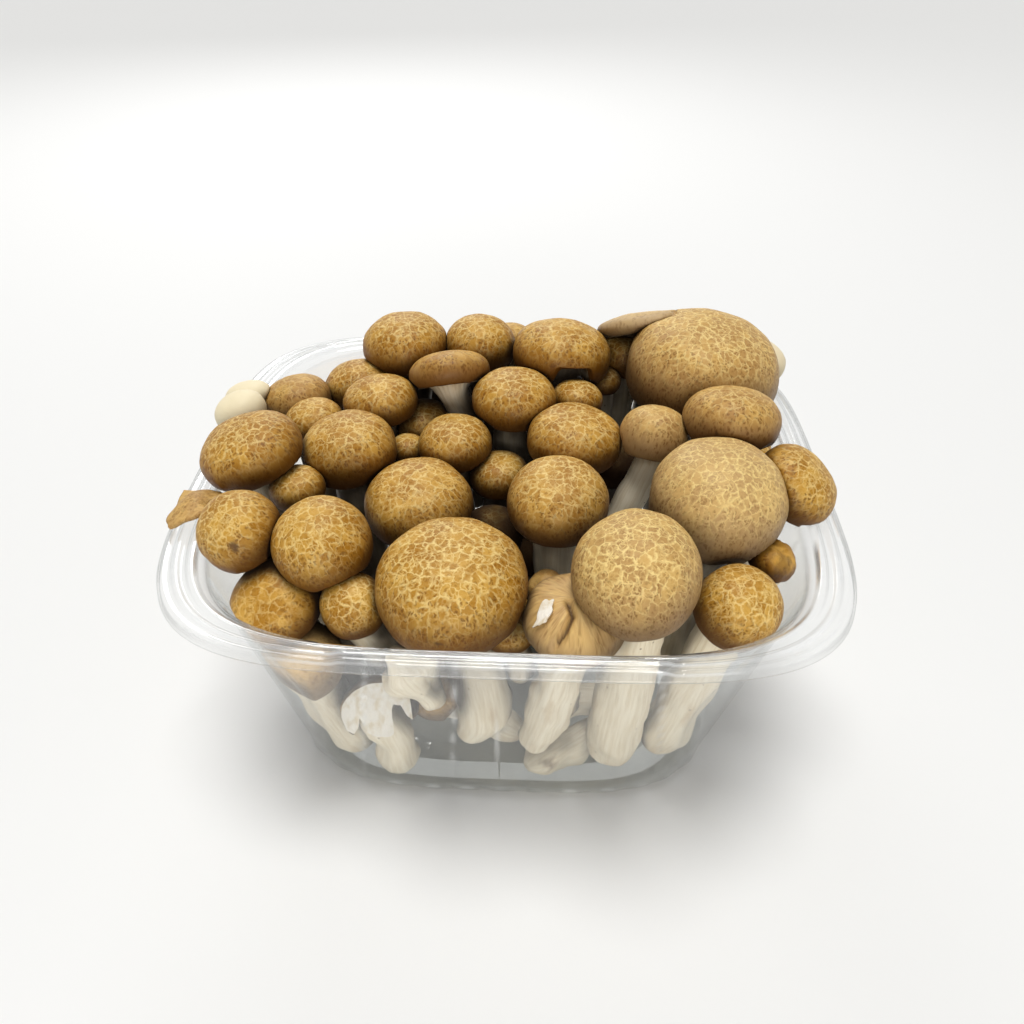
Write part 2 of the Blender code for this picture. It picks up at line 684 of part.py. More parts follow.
def main():
    """Build the punnet and everything in it."""
    clear_scene()
    collection = bpy.data.collections.new(NAME)
    bpy.context.scene.collection.children.link(collection)
    build_punnet(material("clear_plastic", CLEAR_PLASTIC, 0.08, 0.25), collection)
    mushrooms = settled_mushrooms()
    for item in mushrooms:
        colour = CAP_COLOURS[type(item)]
        finish = material(item.name + "_skin", colour, 0.6)
        build_mushroom(item, mushrooms, finish, collection)
    build_scrap(material("scrap_skin", CAP_PALE, 0.6), collection)


main()
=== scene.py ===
"""The looks of a heap of beech mushrooms in a clear thermoformed punnet.

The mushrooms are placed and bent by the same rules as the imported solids, in millimetres,
and each is then skinned finely, with its own coordinates for the net on its cap, the
gills and the fibres of the stem. Meshes are made in metres.
"""

import math

import bmesh
import bpy
import numpy as np
from mathutils import Matrix, Vector


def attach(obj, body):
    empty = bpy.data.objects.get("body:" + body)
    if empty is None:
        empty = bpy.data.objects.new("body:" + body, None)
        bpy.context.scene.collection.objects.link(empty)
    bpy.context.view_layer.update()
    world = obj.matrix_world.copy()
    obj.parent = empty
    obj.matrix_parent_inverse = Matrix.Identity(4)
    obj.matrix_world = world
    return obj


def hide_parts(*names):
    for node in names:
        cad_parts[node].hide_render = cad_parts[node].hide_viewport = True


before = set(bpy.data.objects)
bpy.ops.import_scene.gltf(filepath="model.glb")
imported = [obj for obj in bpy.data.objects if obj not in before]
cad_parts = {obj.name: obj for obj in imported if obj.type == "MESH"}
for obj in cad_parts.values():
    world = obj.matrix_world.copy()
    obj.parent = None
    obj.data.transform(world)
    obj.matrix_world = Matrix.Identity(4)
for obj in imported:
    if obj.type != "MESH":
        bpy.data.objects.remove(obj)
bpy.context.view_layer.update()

MM = 0.001

# Punnet, outside sizes in millimetres.
RIM_WIDTH = 150.0
RIM_DEPTH = 135.5
RIM_HEIGHT = 62.0
RIM_POWER = 4.4
OPENING_WIDTH = 133.0
OPENING_DEPTH = 126.0
OPENING_POWER = 4.2
BASE_WIDTH = 102.0
BASE_DEPTH = 101.0
BASE_POWER = 4.0
FLOOR_LIFT = 1.0
LIP_DROP = 3.0
STEP_DEPTH = 1.2
STEP_WIDTH = 2.0
WALL_THICKNESS = 0.7

# Clearances in millimetres.
CONTACT_GAP = 0.36
FINE_GAP = 0.10
NEAR_LIMIT = 1.5
WALK_STEPS = 8
HALVINGS = 6
WALL_GAP = 0.7
FLANGE_GAP = 0.4

# Relaxation of the stems.
STEM_NODES = 7
RELAX_ROUNDS = 260
PUSH = 0.45
SMOOTHING = 0.20
FOOT_PULL = 0.30
NECK_PULL = 0.60

# Cap outline: share of the cap's radius, share of its half height, and the least
# radius there over the stem's.
CAP_PROFILE = (
    (0.41, 0.92, 0.0),
    (0.77, 0.63, 0.0),
    (0.965, 0.18, 0.0),
    (0.995, -0.24, 0.0),
    (0.945, -0.60, 1.46),
    (0.85, -0.81, 1.35),
    (0.76, -0.80, 1.26),
    (0.56, -0.72, 1.12),
)
CUT_NAME = "halved"
CUT_PROFILE = (
    (0.42, 0.92, 0.0),
    (0.79, 0.62, 0.0),
    (0.965, 0.18, 0.0),
    (0.995, -0.24, 0.0),
    (0.955, -0.64, 1.50),
    (0.87, -0.88, 1.46),
    (0.76, -0.72, 1.30),
    (0.60, -0.20, 1.06),
)
CUT_POINT = (-28.0, -48.8, 28.5)
CUT_TURN = (0.0, -0.87, 0.49)
EDGE_KEY = 5
NECK_KEY = 7
STEM_TOP_LEVEL = -0.55
STEM_STATIONS = (0.10, 0.20, 0.34, 0.48, 0.62, 0.76, 0.88, 0.96, 1.0)
SWELL_STATIONS = (0.10, 0.34, 0.62, 0.88, 1.0)
STEM_SWELL = (0.96, 0.95, 1.00, 1.02, 0.74)
PIECE_STATIONS = (0.0, 0.06, 0.20, 0.45, 0.65, 0.85, 0.95, 1.0)
PIECE_SWELL = (0.72, 0.96, 1.0, 1.0, 1.0, 1.0, 0.93, 0.70)
FOOT_ROUND = 0.50
BEND_WINDOW = 0.20

# Whole mushrooms, in millimetres: centre of the cap, cap diameter, half height of the
# cap over its radius, lean of the cap's axis to +X and +Y, radius of the stem, and the
# centre of the foot.
MUSHROOMS = {
    "back_left": ((-30, 40, 73), 23, 0.62, (-0.05, 0.05), 5.6, (-27, 36, 24)),
    "back_mid": ((-10, 41, 73), 19, 0.72, (0.0, 0.0), 5.0, (-9, 38, 26)),
    "back_small": ((-2, 52, 69), 12, 0.65, (0.0, 0.1), 4.0, (-2, 48, 28)),
    "back_split": ((12, 34, 75), 26, 0.56, (0.10, 0.15), 5.8, (10, 32, 22)),
    "back_flat": ((36, 44, 78), 30, 0.22, (-0.12, 0.50), 4.8, (40, 48, 24)),
    "back_corner": ((61, 43, 70), 24, 0.42, (0.10, 0.15), 4.6, (46, 40, 16)),
    "big_right": ((48, 28, 75), 39, 0.64, (0.10, 0.0), 7.6, (44, 24, 14)),
    "right_low_dome": ((51, 1, 76), 23, 0.58, (0.05, 0.28), 5.2, (48, 4, 28)),
    "right_pale": ((34, 2, 70), 17, 0.78, (0.15, 0.38), 3.8, (23, -6, 38)),
    "right_front_big": ((46, -21, 69), 30, 0.74, (0.05, -0.10), 6.5, (42, -20, 16)),
    "right_edge": ((65, -14, 68), 20, 0.62, (0.60, -0.15), 3.8, (50, -12, 32)),
    "front_right": ((49, -43, 57), 18, 0.85, (0.25, -0.30), 5.6, (41, -44, 9)),
    "front_dome": ((26, -47, 69), 26, 0.82, (-0.12, -0.20), 6.4, (28, -45, 9)),
    "centre": ((11, -18, 65), 23, 0.68, (0.0, -0.10), 5.6, (12, -18, 20)),
    "centre_right": ((15, 3, 68), 23, 0.54, (0.05, 0.0), 5.4, (14, 2, 18)),
    "centre_back": ((0, 16, 71), 21, 0.58, (0.0, 0.0), 5.2, (1, 14, 20)),
    "small_back_right": ((16, 20, 69), 13, 0.60, (0.10, 0.10), 3.8, (17, 18, 32)),
    "small_centre": ((-3, 1, 58), 15, 0.60, (0.0, 0.0), 4.2, (-4, -1, 18)),
    "centre_left": ((-14, 4, 65), 18, 0.62, (-0.05, 0.0), 4.8, (-14, 3, 20)),
    "left_shaded": ((-24, 21, 60), 16, 0.60, (-0.1, 0.0), 4.4, (-25, 20, 16)),
    "left_cut_margin": ((-17, 25, 73), 21, 0.46, (-0.15, 0.48), 4.2, (-10, 22, 34)),
    "left_centre": ((-21, -15, 61), 25, 0.60, (-0.05, -0.10), 5.6, (-20, -16, 14)),
    "front_big": ((-11, -43, 61), 32, 0.66, (-0.05, -0.12), 6.2, (-7, -43, 18)),
    "left_mid": ((-39, -1, 66), 23, 0.62, (-0.10, 0.0), 5.4, (-36, -2, 16)),
    "left_back": ((-34, 18, 68), 19, 0.56, (-0.10, 0.05), 4.8, (-33, 17, 26)),
    "left_rear": ((-42, 33, 64), 19, 0.60, (-0.15, 0.10), 4.8, (-39, 30, 20)),
    "left_rear_edge": ((-57, 24, 64), 18, 0.62, (-0.20, 0.10), 4.6, (-49, 22, 24)),
    "left_rear_small": ((-50, 12, 65), 15, 0.62, (-0.15, 0.0), 4.2, (-46, 10, 18)),
    "left_edge_big": ((-60, -9, 70), 24, 0.52, (-0.25, -0.05), 5.0, (-49, -6, 22)),
    "left_small": ((-49, -14, 63), 13, 0.62, (-0.1, -0.05), 3.8, (-46, -15, 22)),
    "left_front_edge": ((-57, -34, 66), 18, 0.78, (-0.40, -0.25), 4.8, (-48, -30, 24)),
    "left_front": ((-39, -36, 65), 21, 0.78, (-0.15, -0.20), 5.2, (-37, -32, 16)),
    "left_corner": ((-49, -42, 53), 20, 0.62, (-0.25, -0.45), 4.4, (-44, -27, 14)),
    "left_corner_small": ((-32, -43, 54), 14, 0.90, (0.0, -0.30), 4.4, (-27, -36, 20)),
    "left_low": ((-44, -46, 40), 18, 0.80, (-0.25, -0.20), 5.6, (-37, -44, 9)),
    "front_narrow": ((1, -41, 48), 13, 0.85, (0.0, -0.30), 3.4, (3, -41, 31)),
    "front_torn": ((9, -33, 51), 9, 0.75, (0.0, -0.2), 3.6, (15, -37, 18)),
    "front_cracked": ((15, -48, 57), 22, 0.54, (-0.05, -0.15), 5.0, (8, -46, 17)),
    "tiny_left": ((-26, 7, 61), 9, 0.60, (0.0, 0.0), 3.0, (-26, 6, 32)),
    "shaded_back_right": ((29, 42, 70), 15, 0.75, (0.0, 0.1), 4.0, (28, 38, 36)),
    "tiny_back_right": ((23, 33, 67), 10, 0.60, (0.0, 0.0), 3.2, (24, 32, 40)),
    "halved": ((-28, -46, 27), 18, 0.62, (-0.30, 0.40), 4.8, (-25, -45, 5)),
    "low_brown": ((-16, -38, 24), 15, 0.85, (-0.30, -0.25), 4.0, (3, -36, 7)),
    "right_torn_low": ((58, -30, 59), 10, 0.70, (0.2, -0.1), 3.4, (51, -27, 26)),
    "hidden_back_left": ((-46, 50, 55), 18, 0.60, (-0.2, 0.2), 4.8, (-38, 42, 16)),
    "hidden_back_mid": ((-25, 54, 58), 18, 0.60, (0.0, 0.25), 4.8, (-22, 45, 18)),
    "hidden_back": ((-8, 55, 54), 15, 0.60, (0.0, 0.2), 4.4, (-7, 46, 14)),
    "hidden_back_right": ((13, 53, 60), 19, 0.60, (0.0, 0.25), 5.0, (12, 44, 16)),
    "hidden_right": ((61, 12, 57), 16, 0.60, (0.25, 0.0), 4.6, (50, 10, 14)),
    "hidden_centre": ((-4, -13, 51), 15, 0.70, (0.0, 0.0), 3.4, (-2, -9, 14)),
    "hidden_middle": ((5, -7, 39), 11, 0.70, (0.0, 0.0), 3.2, (6, 6, 9)),
    "hidden_right_middle": ((26, 15, 53), 15, 0.70, (0.0, 0.0), 4.4, (22, 20, 14)),
}

# Caps that broke off and lie on the flange: centre, diameter, half height over radius,
# and the lean of the axis.
LOOSE_CAPS = {
    "left_cream": ((-68, 11, 68), 13, 0.62, (-0.30, 0.0)),
    "left_cream_back": ((-69, 22, 66), 12, 0.50, (-0.20, 0.15)),
}

# Broken stems that lie loose: the two ends, and the radius at each end.
STEM_PIECES = {
    "torn_stem": ((-20, -50, 48), (-18, -50, 33), 6.6, 3.0),
    "lying_stem": ((13, -37, 15), (27, -35, 14), 4.4, 4.0),
    "clump_base": ((8, -45, 6), (28, -38, 6), 4.4, 3.8),
}

# A curled scrap of a torn cap on the left flange.
SCRAP_CORNERS = ((-73.3, -31.5, 63.0), (-73.0, -20.0, 65.0),
                 (-66.0, -29.0, 65.5), (-64.7, -18.9, 64.0))
SCRAP_ARCH = 6.0

# How pale a cap is, from 0 to 1, and how strong its net is. The others are PLAIN_LOOK.
PLAIN_LOOK = (0.0, 0.95)
LOOKS = {
    "left_cream": (1.0, 0.0),
    "left_cream_back": (1.0, 0.0),
    "right_pale": (0.35, 0.8),
    "right_low_dome": (0.25, 0.8),
    "back_flat": (0.55, 0.7),
    "back_corner": (0.9, 0.1),
    "back_small": (0.25, 0.6),
    "left_rear_edge": (0.25, 0.5),
    "left_cut_margin": (0.15, 0.5),
    "right_front_big": (0.44, 1.1),
    "big_right": (0.32, 1.1),
    "front_big": (0.0, 1.1),
    "centre": (0.15, 1.0),
    "front_dome": (0.36, 1.2),
    "front_cracked": (0.45, 0.4),
    "front_torn": (0.3, 0.2),
    "left_low": (0.45, 0.3),
    "low_brown": (0.35, 0.2),
    "halved": (0.3, 0.2),
    "left_corner": (0.0, 0.5),
    "right_torn_low": (0.1, 0.1),
}

# What is added to the share of sky that a piece is taken to see, which sets how much shade is
# painted on it, where the shade between the caps falls darker or lighter than the coarse field
# tells.
OPEN_SHIFT = {
    "hidden_centre": -0.30,
    "hidden_middle": -0.30,
    "hidden_right_middle": -0.10,
    "small_centre": -0.05,
    "left_corner": -0.15,
    "right_pale": 0.50,
    "centre": 0.10,
    "clump_base": 0.30,
    "lying_stem": 0.20,
    "shaded_back_right": 0.12,
    "low_brown": 0.12,
}

# Dark marks on the skin, in millimetres: the middle, the reach, and the strength.
MARKS = {
    "left_front_edge": (((-54.9, -42.3, 67.7), 1.4, 0.8),),
    "left_low": (((-47.1, -54.2, 38.2), 1.8, 0.9),),
    "right_low_dome": (((46.0, -8.9, 77.2), 0.9, 0.9),),
    "front_big": (((-12.3, -58.7, 58.1), 0.8, 0.9), ((-9.0, -47.5, 41.0), 0.6, 0.7)),
    "right_edge": (((67.4, -22.7, 61.0), 2.6, 0.9),),
    "right_torn_low": (((58.5, -34.0, 60.0), 3.4, 0.5),),
    "clump_base": (((11.0, -47.5, 9.2), 2.4, 0.7), ((19.5, -46.0, 5.0), 1.0, 0.9)),
    "torn_stem": (((-24.5, -55.0, 44.0), 0.9, 0.5), ((-19.0, -56.0, 39.0), 0.8, 0.5)),
}

# The marks' ragged edges: wave length, how far they wander, and the full part of the reach.
MARK_WAVE = 1.6
MARK_WANDER = 0.18
MARK_CORE = 0.4

# How many times rougher than the others a torn piece is.
ROUGH = {
    "right_torn_low": 5.0,
    "front_torn": 5.0,
    "torn_stem": 3.0,
    "clump_base": 3.0,
    "front_cracked": 2.0,
    "halved": 2.0,
    "lying_stem": 2.0,
}

# The crack in the cap of front_cracked, from above, its width and its depth, and where the shade
# painted along it starts and ends to fade.
CRACK_NAME = "front_cracked"
CRACK_LINE = ((13.0, -49.5), (13.9, -52.6), (12.6, -55.2), (10.4, -57.2))
CRACK_WIDTH = 1.1
CRACK_DEPTH = 1.5
CRACK_SHADE = (0.1, 0.6 * CRACK_WIDTH)

# The arched gap in the margin of back_split: its direction from above, its half angle,
# how far the margin is lifted there, and over which key rows.
ARCH_NAME = "back_split"
ARCH_WAY = (0.22, -1.0)
ARCH_ANGLE = 0.50
ARCH_CORE = 0.55
ARCH_LIFT = 4.6
ARCH_RISE = (3.2, 5.4)
ARCH_FALL = (7.4, 8.6)

# A white flake that stands on front_cracked.
FLAKE_CORNERS = ((6.4, -53.6, 59.2), (8.0, -50.0, 62.6), (8.8, -54.2, 60.9), (10.3, -50.2, 63.2))
FLAKE_ARCH = 0.8

# The pattern's coordinates: how much the flat map of a cap is squeezed at its edge, how
# it is stretched on the cracked cap, and how far each seed shifts it.
CROWN_SQUEEZE = 0.22
CRACKED_STRETCH = (0.9, 0.22)
SEED_STEPS = (37, 53, 71)
SEED_RANGE = 400

# Fineness of the meshes, in millimetres between points.
CAP_SPACING = 0.62
STEM_SPACING = 1.10
HIDDEN_SPACING = 1.6
LEAST_POINTS = 40
MOST_POINTS = 132

# Relief of the skin: wave lengths in millimetres, heights of the broad lumps over the
# radius, and heights of the small ones in millimetres. Gills: points round for each, depth
# over the cap's radius, and how far past the neck's key they fade.
BROAD_WAVE = 9.0
SMALL_WAVE = 2.6
CAP_BROAD = 0.007
CAP_SMALL = 0.022
STEM_BROAD = 0.045
STEM_SMALL = 0.03
POINTS_PER_GILL = 4
GILL_DEPTH = 0.035
GILL_END = 1.6

# The camera, set to the photograph: place, view direction and sideways direction.
CAMERA_PLACE = (4.8, -190.35, 190.2)
VIEW_AHEAD = (-0.0189, 0.7988, -0.6013)
VIEW_RIGHT = (0.9994, 0.0333, 0.013)
FOCAL_SHARE = 950.0 / 1024.0
SENSOR_WIDTH = 36.0
CLIP_START = 0.01


# Placing and bending the mushrooms


def wall_share(height):
    """Return how far up the wall a height lies, from 0 at the foot to 1 at the opening."""
    return np.clip(height / (RIM_HEIGHT - STEP_DEPTH), 0.0, 1.0)


def fill_level(points, gap):
    """Return for each point how full the punnet's outline is there: 1 lies on the wall."""
    share = wall_share(points[:, 2])
    half_width = (BASE_WIDTH + (OPENING_WIDTH - BASE_WIDTH) * share) / 2 - WALL_THICKNESS - gap
    half_depth = (BASE_DEPTH + (OPENING_DEPTH - BASE_DEPTH) * share) / 2 - WALL_THICKNESS - gap
    across = np.abs(points[:, 0]) / half_width
    along = np.abs(points[:, 1]) / half_depth
    return (across ** BASE_POWER + along ** BASE_POWER) ** (1.0 / BASE_POWER)


def floor_level():
    """Return the height of the floor's upper face at the middle."""
    return FLOOR_LIFT + WALL_THICKNESS


def in_free_space(points):
    """Tell which points lie inside the punnet's walls or above its flange."""
    above = points[:, 2] >= RIM_HEIGHT + FLANGE_GAP
    inside = (fill_level(points, WALL_GAP) <= 1.0) & (points[:, 2] >= floor_level() + FLANGE_GAP)
    return above | inside


def unit(vector):
    """Return the vector at length one."""
    return vector / np.linalg.norm(vector)


def smooth_step(value, start, end):
    """Return a smooth step from 0 at start to 1 at end."""
    share = np.clip((value - start) / (end - start), 0.0, 1.0)
    return share * share * (3 - 2 * share)


def hump(value, rise, fall):
    """Return a smooth hump that goes up from 0 to 1 over one range and down over another."""
    return smooth_step(value, *rise) * (1 - smooth_step(value, *fall))


def bell(value, middle, width):
    """Return a bell curve of height 1 about a middle."""
    return np.exp(-((value - middle) / width) ** 2)


class Mushroom:
    """The measures and the bent centreline of one mushroom, in millimetres."""

    def __init__(self, name, row):
        centre, diameter, squat, lean, stem_radius, foot = row
        self.name = name
        self.centre = np.array(centre, float)
        self.radius = diameter / 2
        self.half_height = squat * diameter / 2
        upright = math.sqrt(max(0.0, 1.0 - lean[0] ** 2 - lean[1] ** 2))
        self.axis = np.array([lean[0], lean[1], upright])
        self.stem_radius = stem_radius
        self.foot = np.array(foot, float)
        side = unit(np.cross(self.axis, [0.0, 1.0, 0.1]))
        self.frame = np.array([side, np.cross(self.axis, side), self.axis])
        self.line = self.first_line()

    def first_line(self):
        """Return the stem's nodes before they are relaxed: leaving the cap along its axis."""
        start = self.centre + self.axis * STEM_TOP_LEVEL * self.half_height
        neck = start - self.axis * (0.2 * self.half_height + 0.4 * self.stem_radius)
        self.neck = neck
        steps = np.linspace(0.0, 1.0, STEM_NODES - 1)[:, None]
        return np.vstack([start, neck + (self.foot - neck) * steps])

    def cap_distance(self, points):
        """Return the distance of each point to the cap, negative inside."""
        sizes = np.array([self.radius, self.radius, self.half_height])
        local = (points - self.centre) @ self.frame.T
        near = np.linalg.norm(local / sizes, axis=1) + 1e-9
        slope = np.linalg.norm(local / sizes ** 2, axis=1) + 1e-9
        return near * (near - 1.0) / slope

    def stem_distance(self, points):
        """Return the distance of each point to the stem, negative inside."""
        best = np.full(len(points), 1e9)
        for start, end in zip(self.line[:-1], self.line[1:]):
            along = end - start
            share = np.clip((points - start) @ along / (along @ along), 0.0, 1.0)
            reach = np.linalg.norm(points - start - share[:, None] * along, axis=1)
            best = np.minimum(best, reach - self.stem_radius)
        return best

    def distance(self, points):
        """Return the distance of each point to the whole mushroom, negative inside."""
        return np.minimum(self.cap_distance(points), self.stem_distance(points))


class LooseCap(Mushroom):
    """A cap without its stem, hollowed underneath."""

    def __init__(self, name, row):
        centre, diameter, squat, lean = row
        super().__init__(name, (centre, diameter, squat, lean, 0.0, centre))
        self.line = np.repeat([self.line[0]], STEM_NODES, axis=0)

    def stem_distance(self, points):
        """Return a large distance everywhere, because there is no stem."""
        return np.full(len(points), 1e9)


class StemPiece(Mushroom):
    """A loose length of stem: a mushroom without its cap."""

    def __init__(self, name, row):
        start, end, start_radius, end_radius = row
        self.name = name
        self.start_radius = start_radius
        self.end_radius = end_radius
        self.stem_radius = max(start_radius, end_radius)
        steps = np.linspace(0.0, 1.0, STEM_NODES)[:, None]
        self.line = np.array(start, float) + (np.array(end, float) - np.array(start, float)) * steps
        self.foot = self.line[-1]
        self.neck = self.line[1]
        self.centre = self.line[0]

    def cap_distance(self, points):
        """Return a large distance everywhere, because there is no cap."""
        return np.full(len(points), 1e9)


def push_from_caps(mushrooms, nodes, radii, owner):
    """Return how far each stem node has to move to leave the caps.

    The first two nodes of a stem stay in their own cap.
    """
    move = np.zeros_like(nodes)
    step = np.tile(np.arange(STEM_NODES), len(mushrooms))
    for index, other in enumerate(mushrooms):
        depth = radii + CONTACT_GAP - other.cap_distance(nodes)
        inside = (depth > 0) & ((owner != index) | (step > 1))
        if not inside.any():
            continue
        away = nodes[inside] - other.centre
        away[:, 2] -= other.half_height
        away /= np.linalg.norm(away, axis=1)[:, None]
        move[inside] += away * depth[inside][:, None]
    return move


def push_from_stems(nodes, radii, owner):
    """Return how far each stem node has to move to leave the stems of the others."""
    apart = nodes[:, None] - nodes[None]
    reach = np.linalg.norm(apart, axis=2) + 1e-6
    depth = radii[:, None] + radii[None] + CONTACT_GAP - reach
    depth[owner[:, None] == owner[None]] = 0.0
    depth = np.clip(depth, 0.0, None)
    return (apart / reach[:, :, None] * depth[:, :, None]).sum(axis=1) / 2


def keep_inside(line, radius):
    """Move the nodes of one stem inside the walls and above the floor."""
    level = fill_level(line, WALL_GAP + radius)
    on_flange = (level > 1.0) & (line[:, 2] > RIM_HEIGHT - radius)
    line[on_flange, 2] = np.maximum(line[on_flange, 2], RIM_HEIGHT + FLANGE_GAP + radius)
    outside = (level > 1.0) & ~on_flange
    line[outside, :2] /= level[outside][:, None]
    line[:-1, 2] = np.maximum(line[:-1, 2], floor_level() + FLANGE_GAP + radius)
    line[-1, 2] = max(line[-1, 2], floor_level() + FLANGE_GAP + FOOT_ROUND * radius)
    return line


def relax(mushrooms):
    """Bend the stems clear of each other, of the caps and of the punnet."""
    radii = np.repeat([item.stem_radius for item in mushrooms], STEM_NODES)
    owner = np.repeat(np.arange(len(mushrooms)), STEM_NODES)
    for _ in range(RELAX_ROUNDS):
        nodes = np.vstack([item.line for item in mushrooms])
        moves = push_from_caps(mushrooms, nodes, radii, owner)
        moves += push_from_stems(nodes, radii, owner)
        moves = PUSH * moves.reshape(len(mushrooms), STEM_NODES, 3)
        for index, item in enumerate(mushrooms):
            if isinstance(item, LooseCap):
                continue
            line = item.line
            anchor = line[0].copy()
            neck = item.neck
            bend = np.zeros_like(line)
            bend[1:-1] = (line[:-2] + line[2:]) / 2 - line[1:-1]
            bend[-1] = (item.foot - line[-1]) * FOOT_PULL / SMOOTHING
            line = line + moves[index] + bend * SMOOTHING
            item.line = keep_inside(line, item.stem_radius)
            if not isinstance(item, StemPiece):
                item.line[0] = anchor
                item.line[1] += (neck - item.line[1]) * NECK_PULL


def settled_mushrooms():
    """Return every mushroom and loose stem with its centreline relaxed."""
    mushrooms = [Mushroom(name, row) for name, row in MUSHROOMS.items()]
    mushrooms += [LooseCap(name, row) for name, row in LOOSE_CAPS.items()]
    mushrooms += [StemPiece(name, row) for name, row in STEM_PIECES.items()]
    relax(mushrooms)
    return mushrooms


def at_station(line, share):
    """Return the point of the centreline at a share of its length, and its direction."""
    steps = np.linalg.norm(np.diff(line, axis=0), axis=1)
    reach = np.concatenate([[0.0], np.cumsum(steps)]) / steps.sum()

    def point_at(place):
        return np.array([np.interp(place, reach, line[:, axis]) for axis in range(3)])

    before = point_at(max(share - BEND_WINDOW, 0.0))
    after = point_at(min(share + BEND_WINDOW, 1.0))
    return point_at(share), unit(after - before)


# Skinning a mushroom


class Noise:
    """A smooth random field of unit size, made of waves in seeded directions."""

    def __init__(self, seed, wave_length, waves=18):
        draw = np.random.default_rng(seed)
        direction = draw.normal(size=(waves, 3))
        direction /= np.linalg.norm(direction, axis=1)[:, None]
        length = wave_length * draw.uniform(0.7, 1.6, waves)
        self.vectors = direction * (2 * math.pi / length)[:, None]
        self.phases = draw.uniform(0, 2 * math.pi, waves)
        self.scale = math.sqrt(2.0 / waves)

    def at(self, points):
        """Return the field's value at each point."""
        return np.sin(points @ self.vectors.T + self.phases).sum(axis=-1) * self.scale


def ring(centre, side, other, radius, count):
    """Return a circle of points about a centre, in the plane of two directions."""
    turn = np.linspace(0.0, 2.0 * math.pi, count, endpoint=False)
    return centre + radius * (np.cos(turn)[:, None] * side + np.sin(turn)[:, None] * other)


def stem_rings(line, side, stations, radii, count):
    """Return the rings along a centreline, with their centres, carried without twist."""
    rings = []
    centres = []
    for share, radius in zip(stations, radii):
        point, direction = at_station(line, share)
        side = unit(side - direction * (side @ direction))
        rings.append(ring(point, side, np.cross(side, direction), radius, count))
        centres.append(point)
    return rings, centres


def cap_rings(item, count):
    """Return the rings of a cap from its crown to the foot of its underside."""
    side = item.frame[0]
    other = np.cross(side, -item.axis)
    rings = []
    profile = CUT_PROFILE if item.name == CUT_NAME else CAP_PROFILE
    for out, level, least in profile:
        radius = max(out * item.radius, item.stem_radius * least)
        middle = item.centre + item.axis * level * item.half_height
        rings.append(ring(middle, side, other, radius, count))
    return rings, [item.centre] * len(rings)


def mushroom_rings(item, count):
    """Return the key rings of a mushroom from the crown of the cap to its foot."""
    rings, centres = cap_rings(item, count)
    swell = np.interp(STEM_STATIONS, SWELL_STATIONS, STEM_SWELL)
    low_rings, low_centres = stem_rings(
        item.line, item.frame[0], STEM_STATIONS, swell * item.stem_radius, count)
    crown = item.centre + item.axis * item.half_height
    tip = low_centres[-1] + at_station(item.line, 1.0)[1] * item.stem_radius * FOOT_ROUND
    return rings + low_rings, centres + low_centres, crown, tip


def loose_cap_rings(item, count):
    """Return the key rings of a cap that has no stem, and its two end points."""
    rings, centres = cap_rings(item, count)
    crown = item.centre + item.axis * item.half_height
    hollow = item.centre + item.axis * STEM_TOP_LEVEL * item.half_height
    return rings, centres, crown, hollow


def piece_rings(item, count):
    """Return the key rings of a loose stem from one rounded end to the other."""
    start, direction = at_station(item.line, 0.0)
    side = unit(np.cross(direction, [0.1, 0.2, 1.0]))
    stations = np.array(PIECE_STATIONS)
    taper = item.start_radius + (item.end_radius - item.start_radius) * stations
    radii = np.array(PIECE_SWELL) * taper
    rings, centres = stem_rings(item.line, side, stations, radii, count)
    crown = start - direction * item.start_radius * FOOT_ROUND
    tip = centres[-1] + at_station(item.line, 1.0)[1] * item.end_radius * FOOT_ROUND
    return rings, centres, crown, tip


RING_MAKERS = {Mushroom: mushroom_rings, LooseCap: loose_cap_rings, StemPiece: piece_rings}
SLOTS = {Mushroom: "mushroom", LooseCap: "pale_cap", StemPiece: "stem_flesh"}


def smooth_rows(keys, hearts, spacings):
    """Return finer rows on smooth curves through the key rows, and where each row lies.

    keys holds the crown, the key rings and the tip, each as a full row. The place of a
    row is a key number with a fraction.
    """
    half = keys.shape[1] // 2
    before = np.roll(keys[1], half, axis=0)[None]
    after = np.roll(keys[-2], half, axis=0)[None]
    rows = np.concatenate([before, keys, after])
    gaps = np.linalg.norm(np.diff(rows, axis=0), axis=2).mean(axis=1)
    slopes = np.diff(rows, axis=0) / gaps[:, None, None]
    ahead = gaps[1:, None, None]
    behind = gaps[:-1, None, None]
    tangents = (slopes[1:] * behind + slopes[:-1] * ahead) / (ahead + behind)
    fine = []
    fine_hearts = []
    places = []
    for index in range(len(keys) - 1):
        gap = gaps[index + 1]
        steps = max(1, round(gap / spacings[index]))
        for t in np.arange(steps) / steps:
            rise = 3 * t ** 2 - 2 * t ** 3
            point = (1 - rise) * keys[index] + rise * keys[index + 1]
            point = point + gap * (t ** 3 - 2 * t ** 2 + t) * tangents[index]
            point = point + gap * (t ** 3 - t ** 2) * tangents[index + 1]
            fine.append(point)
            fine_hearts.append((1 - t) * hearts[index] + t * hearts[index + 1])
            places.append(index + t)
    fine.append(keys[-1])
    fine_hearts.append(hearts[-1])
    places.append(len(keys) - 1.0)
    return np.array(fine), np.array(fine_hearts), np.array(places)


def grid_normals(grid):
    """Return the outward direction at each point of a closed grid of rows."""
    around = np.roll(grid, -1, axis=1) - np.roll(grid, 1, axis=1)
    down = np.gradient(grid, axis=0)
    normal = np.cross(down, around)
    size = np.linalg.norm(normal, axis=2, keepdims=True)
    return np.where(size > 1e-9, normal / np.maximum(size, 1e-9), 0.0)


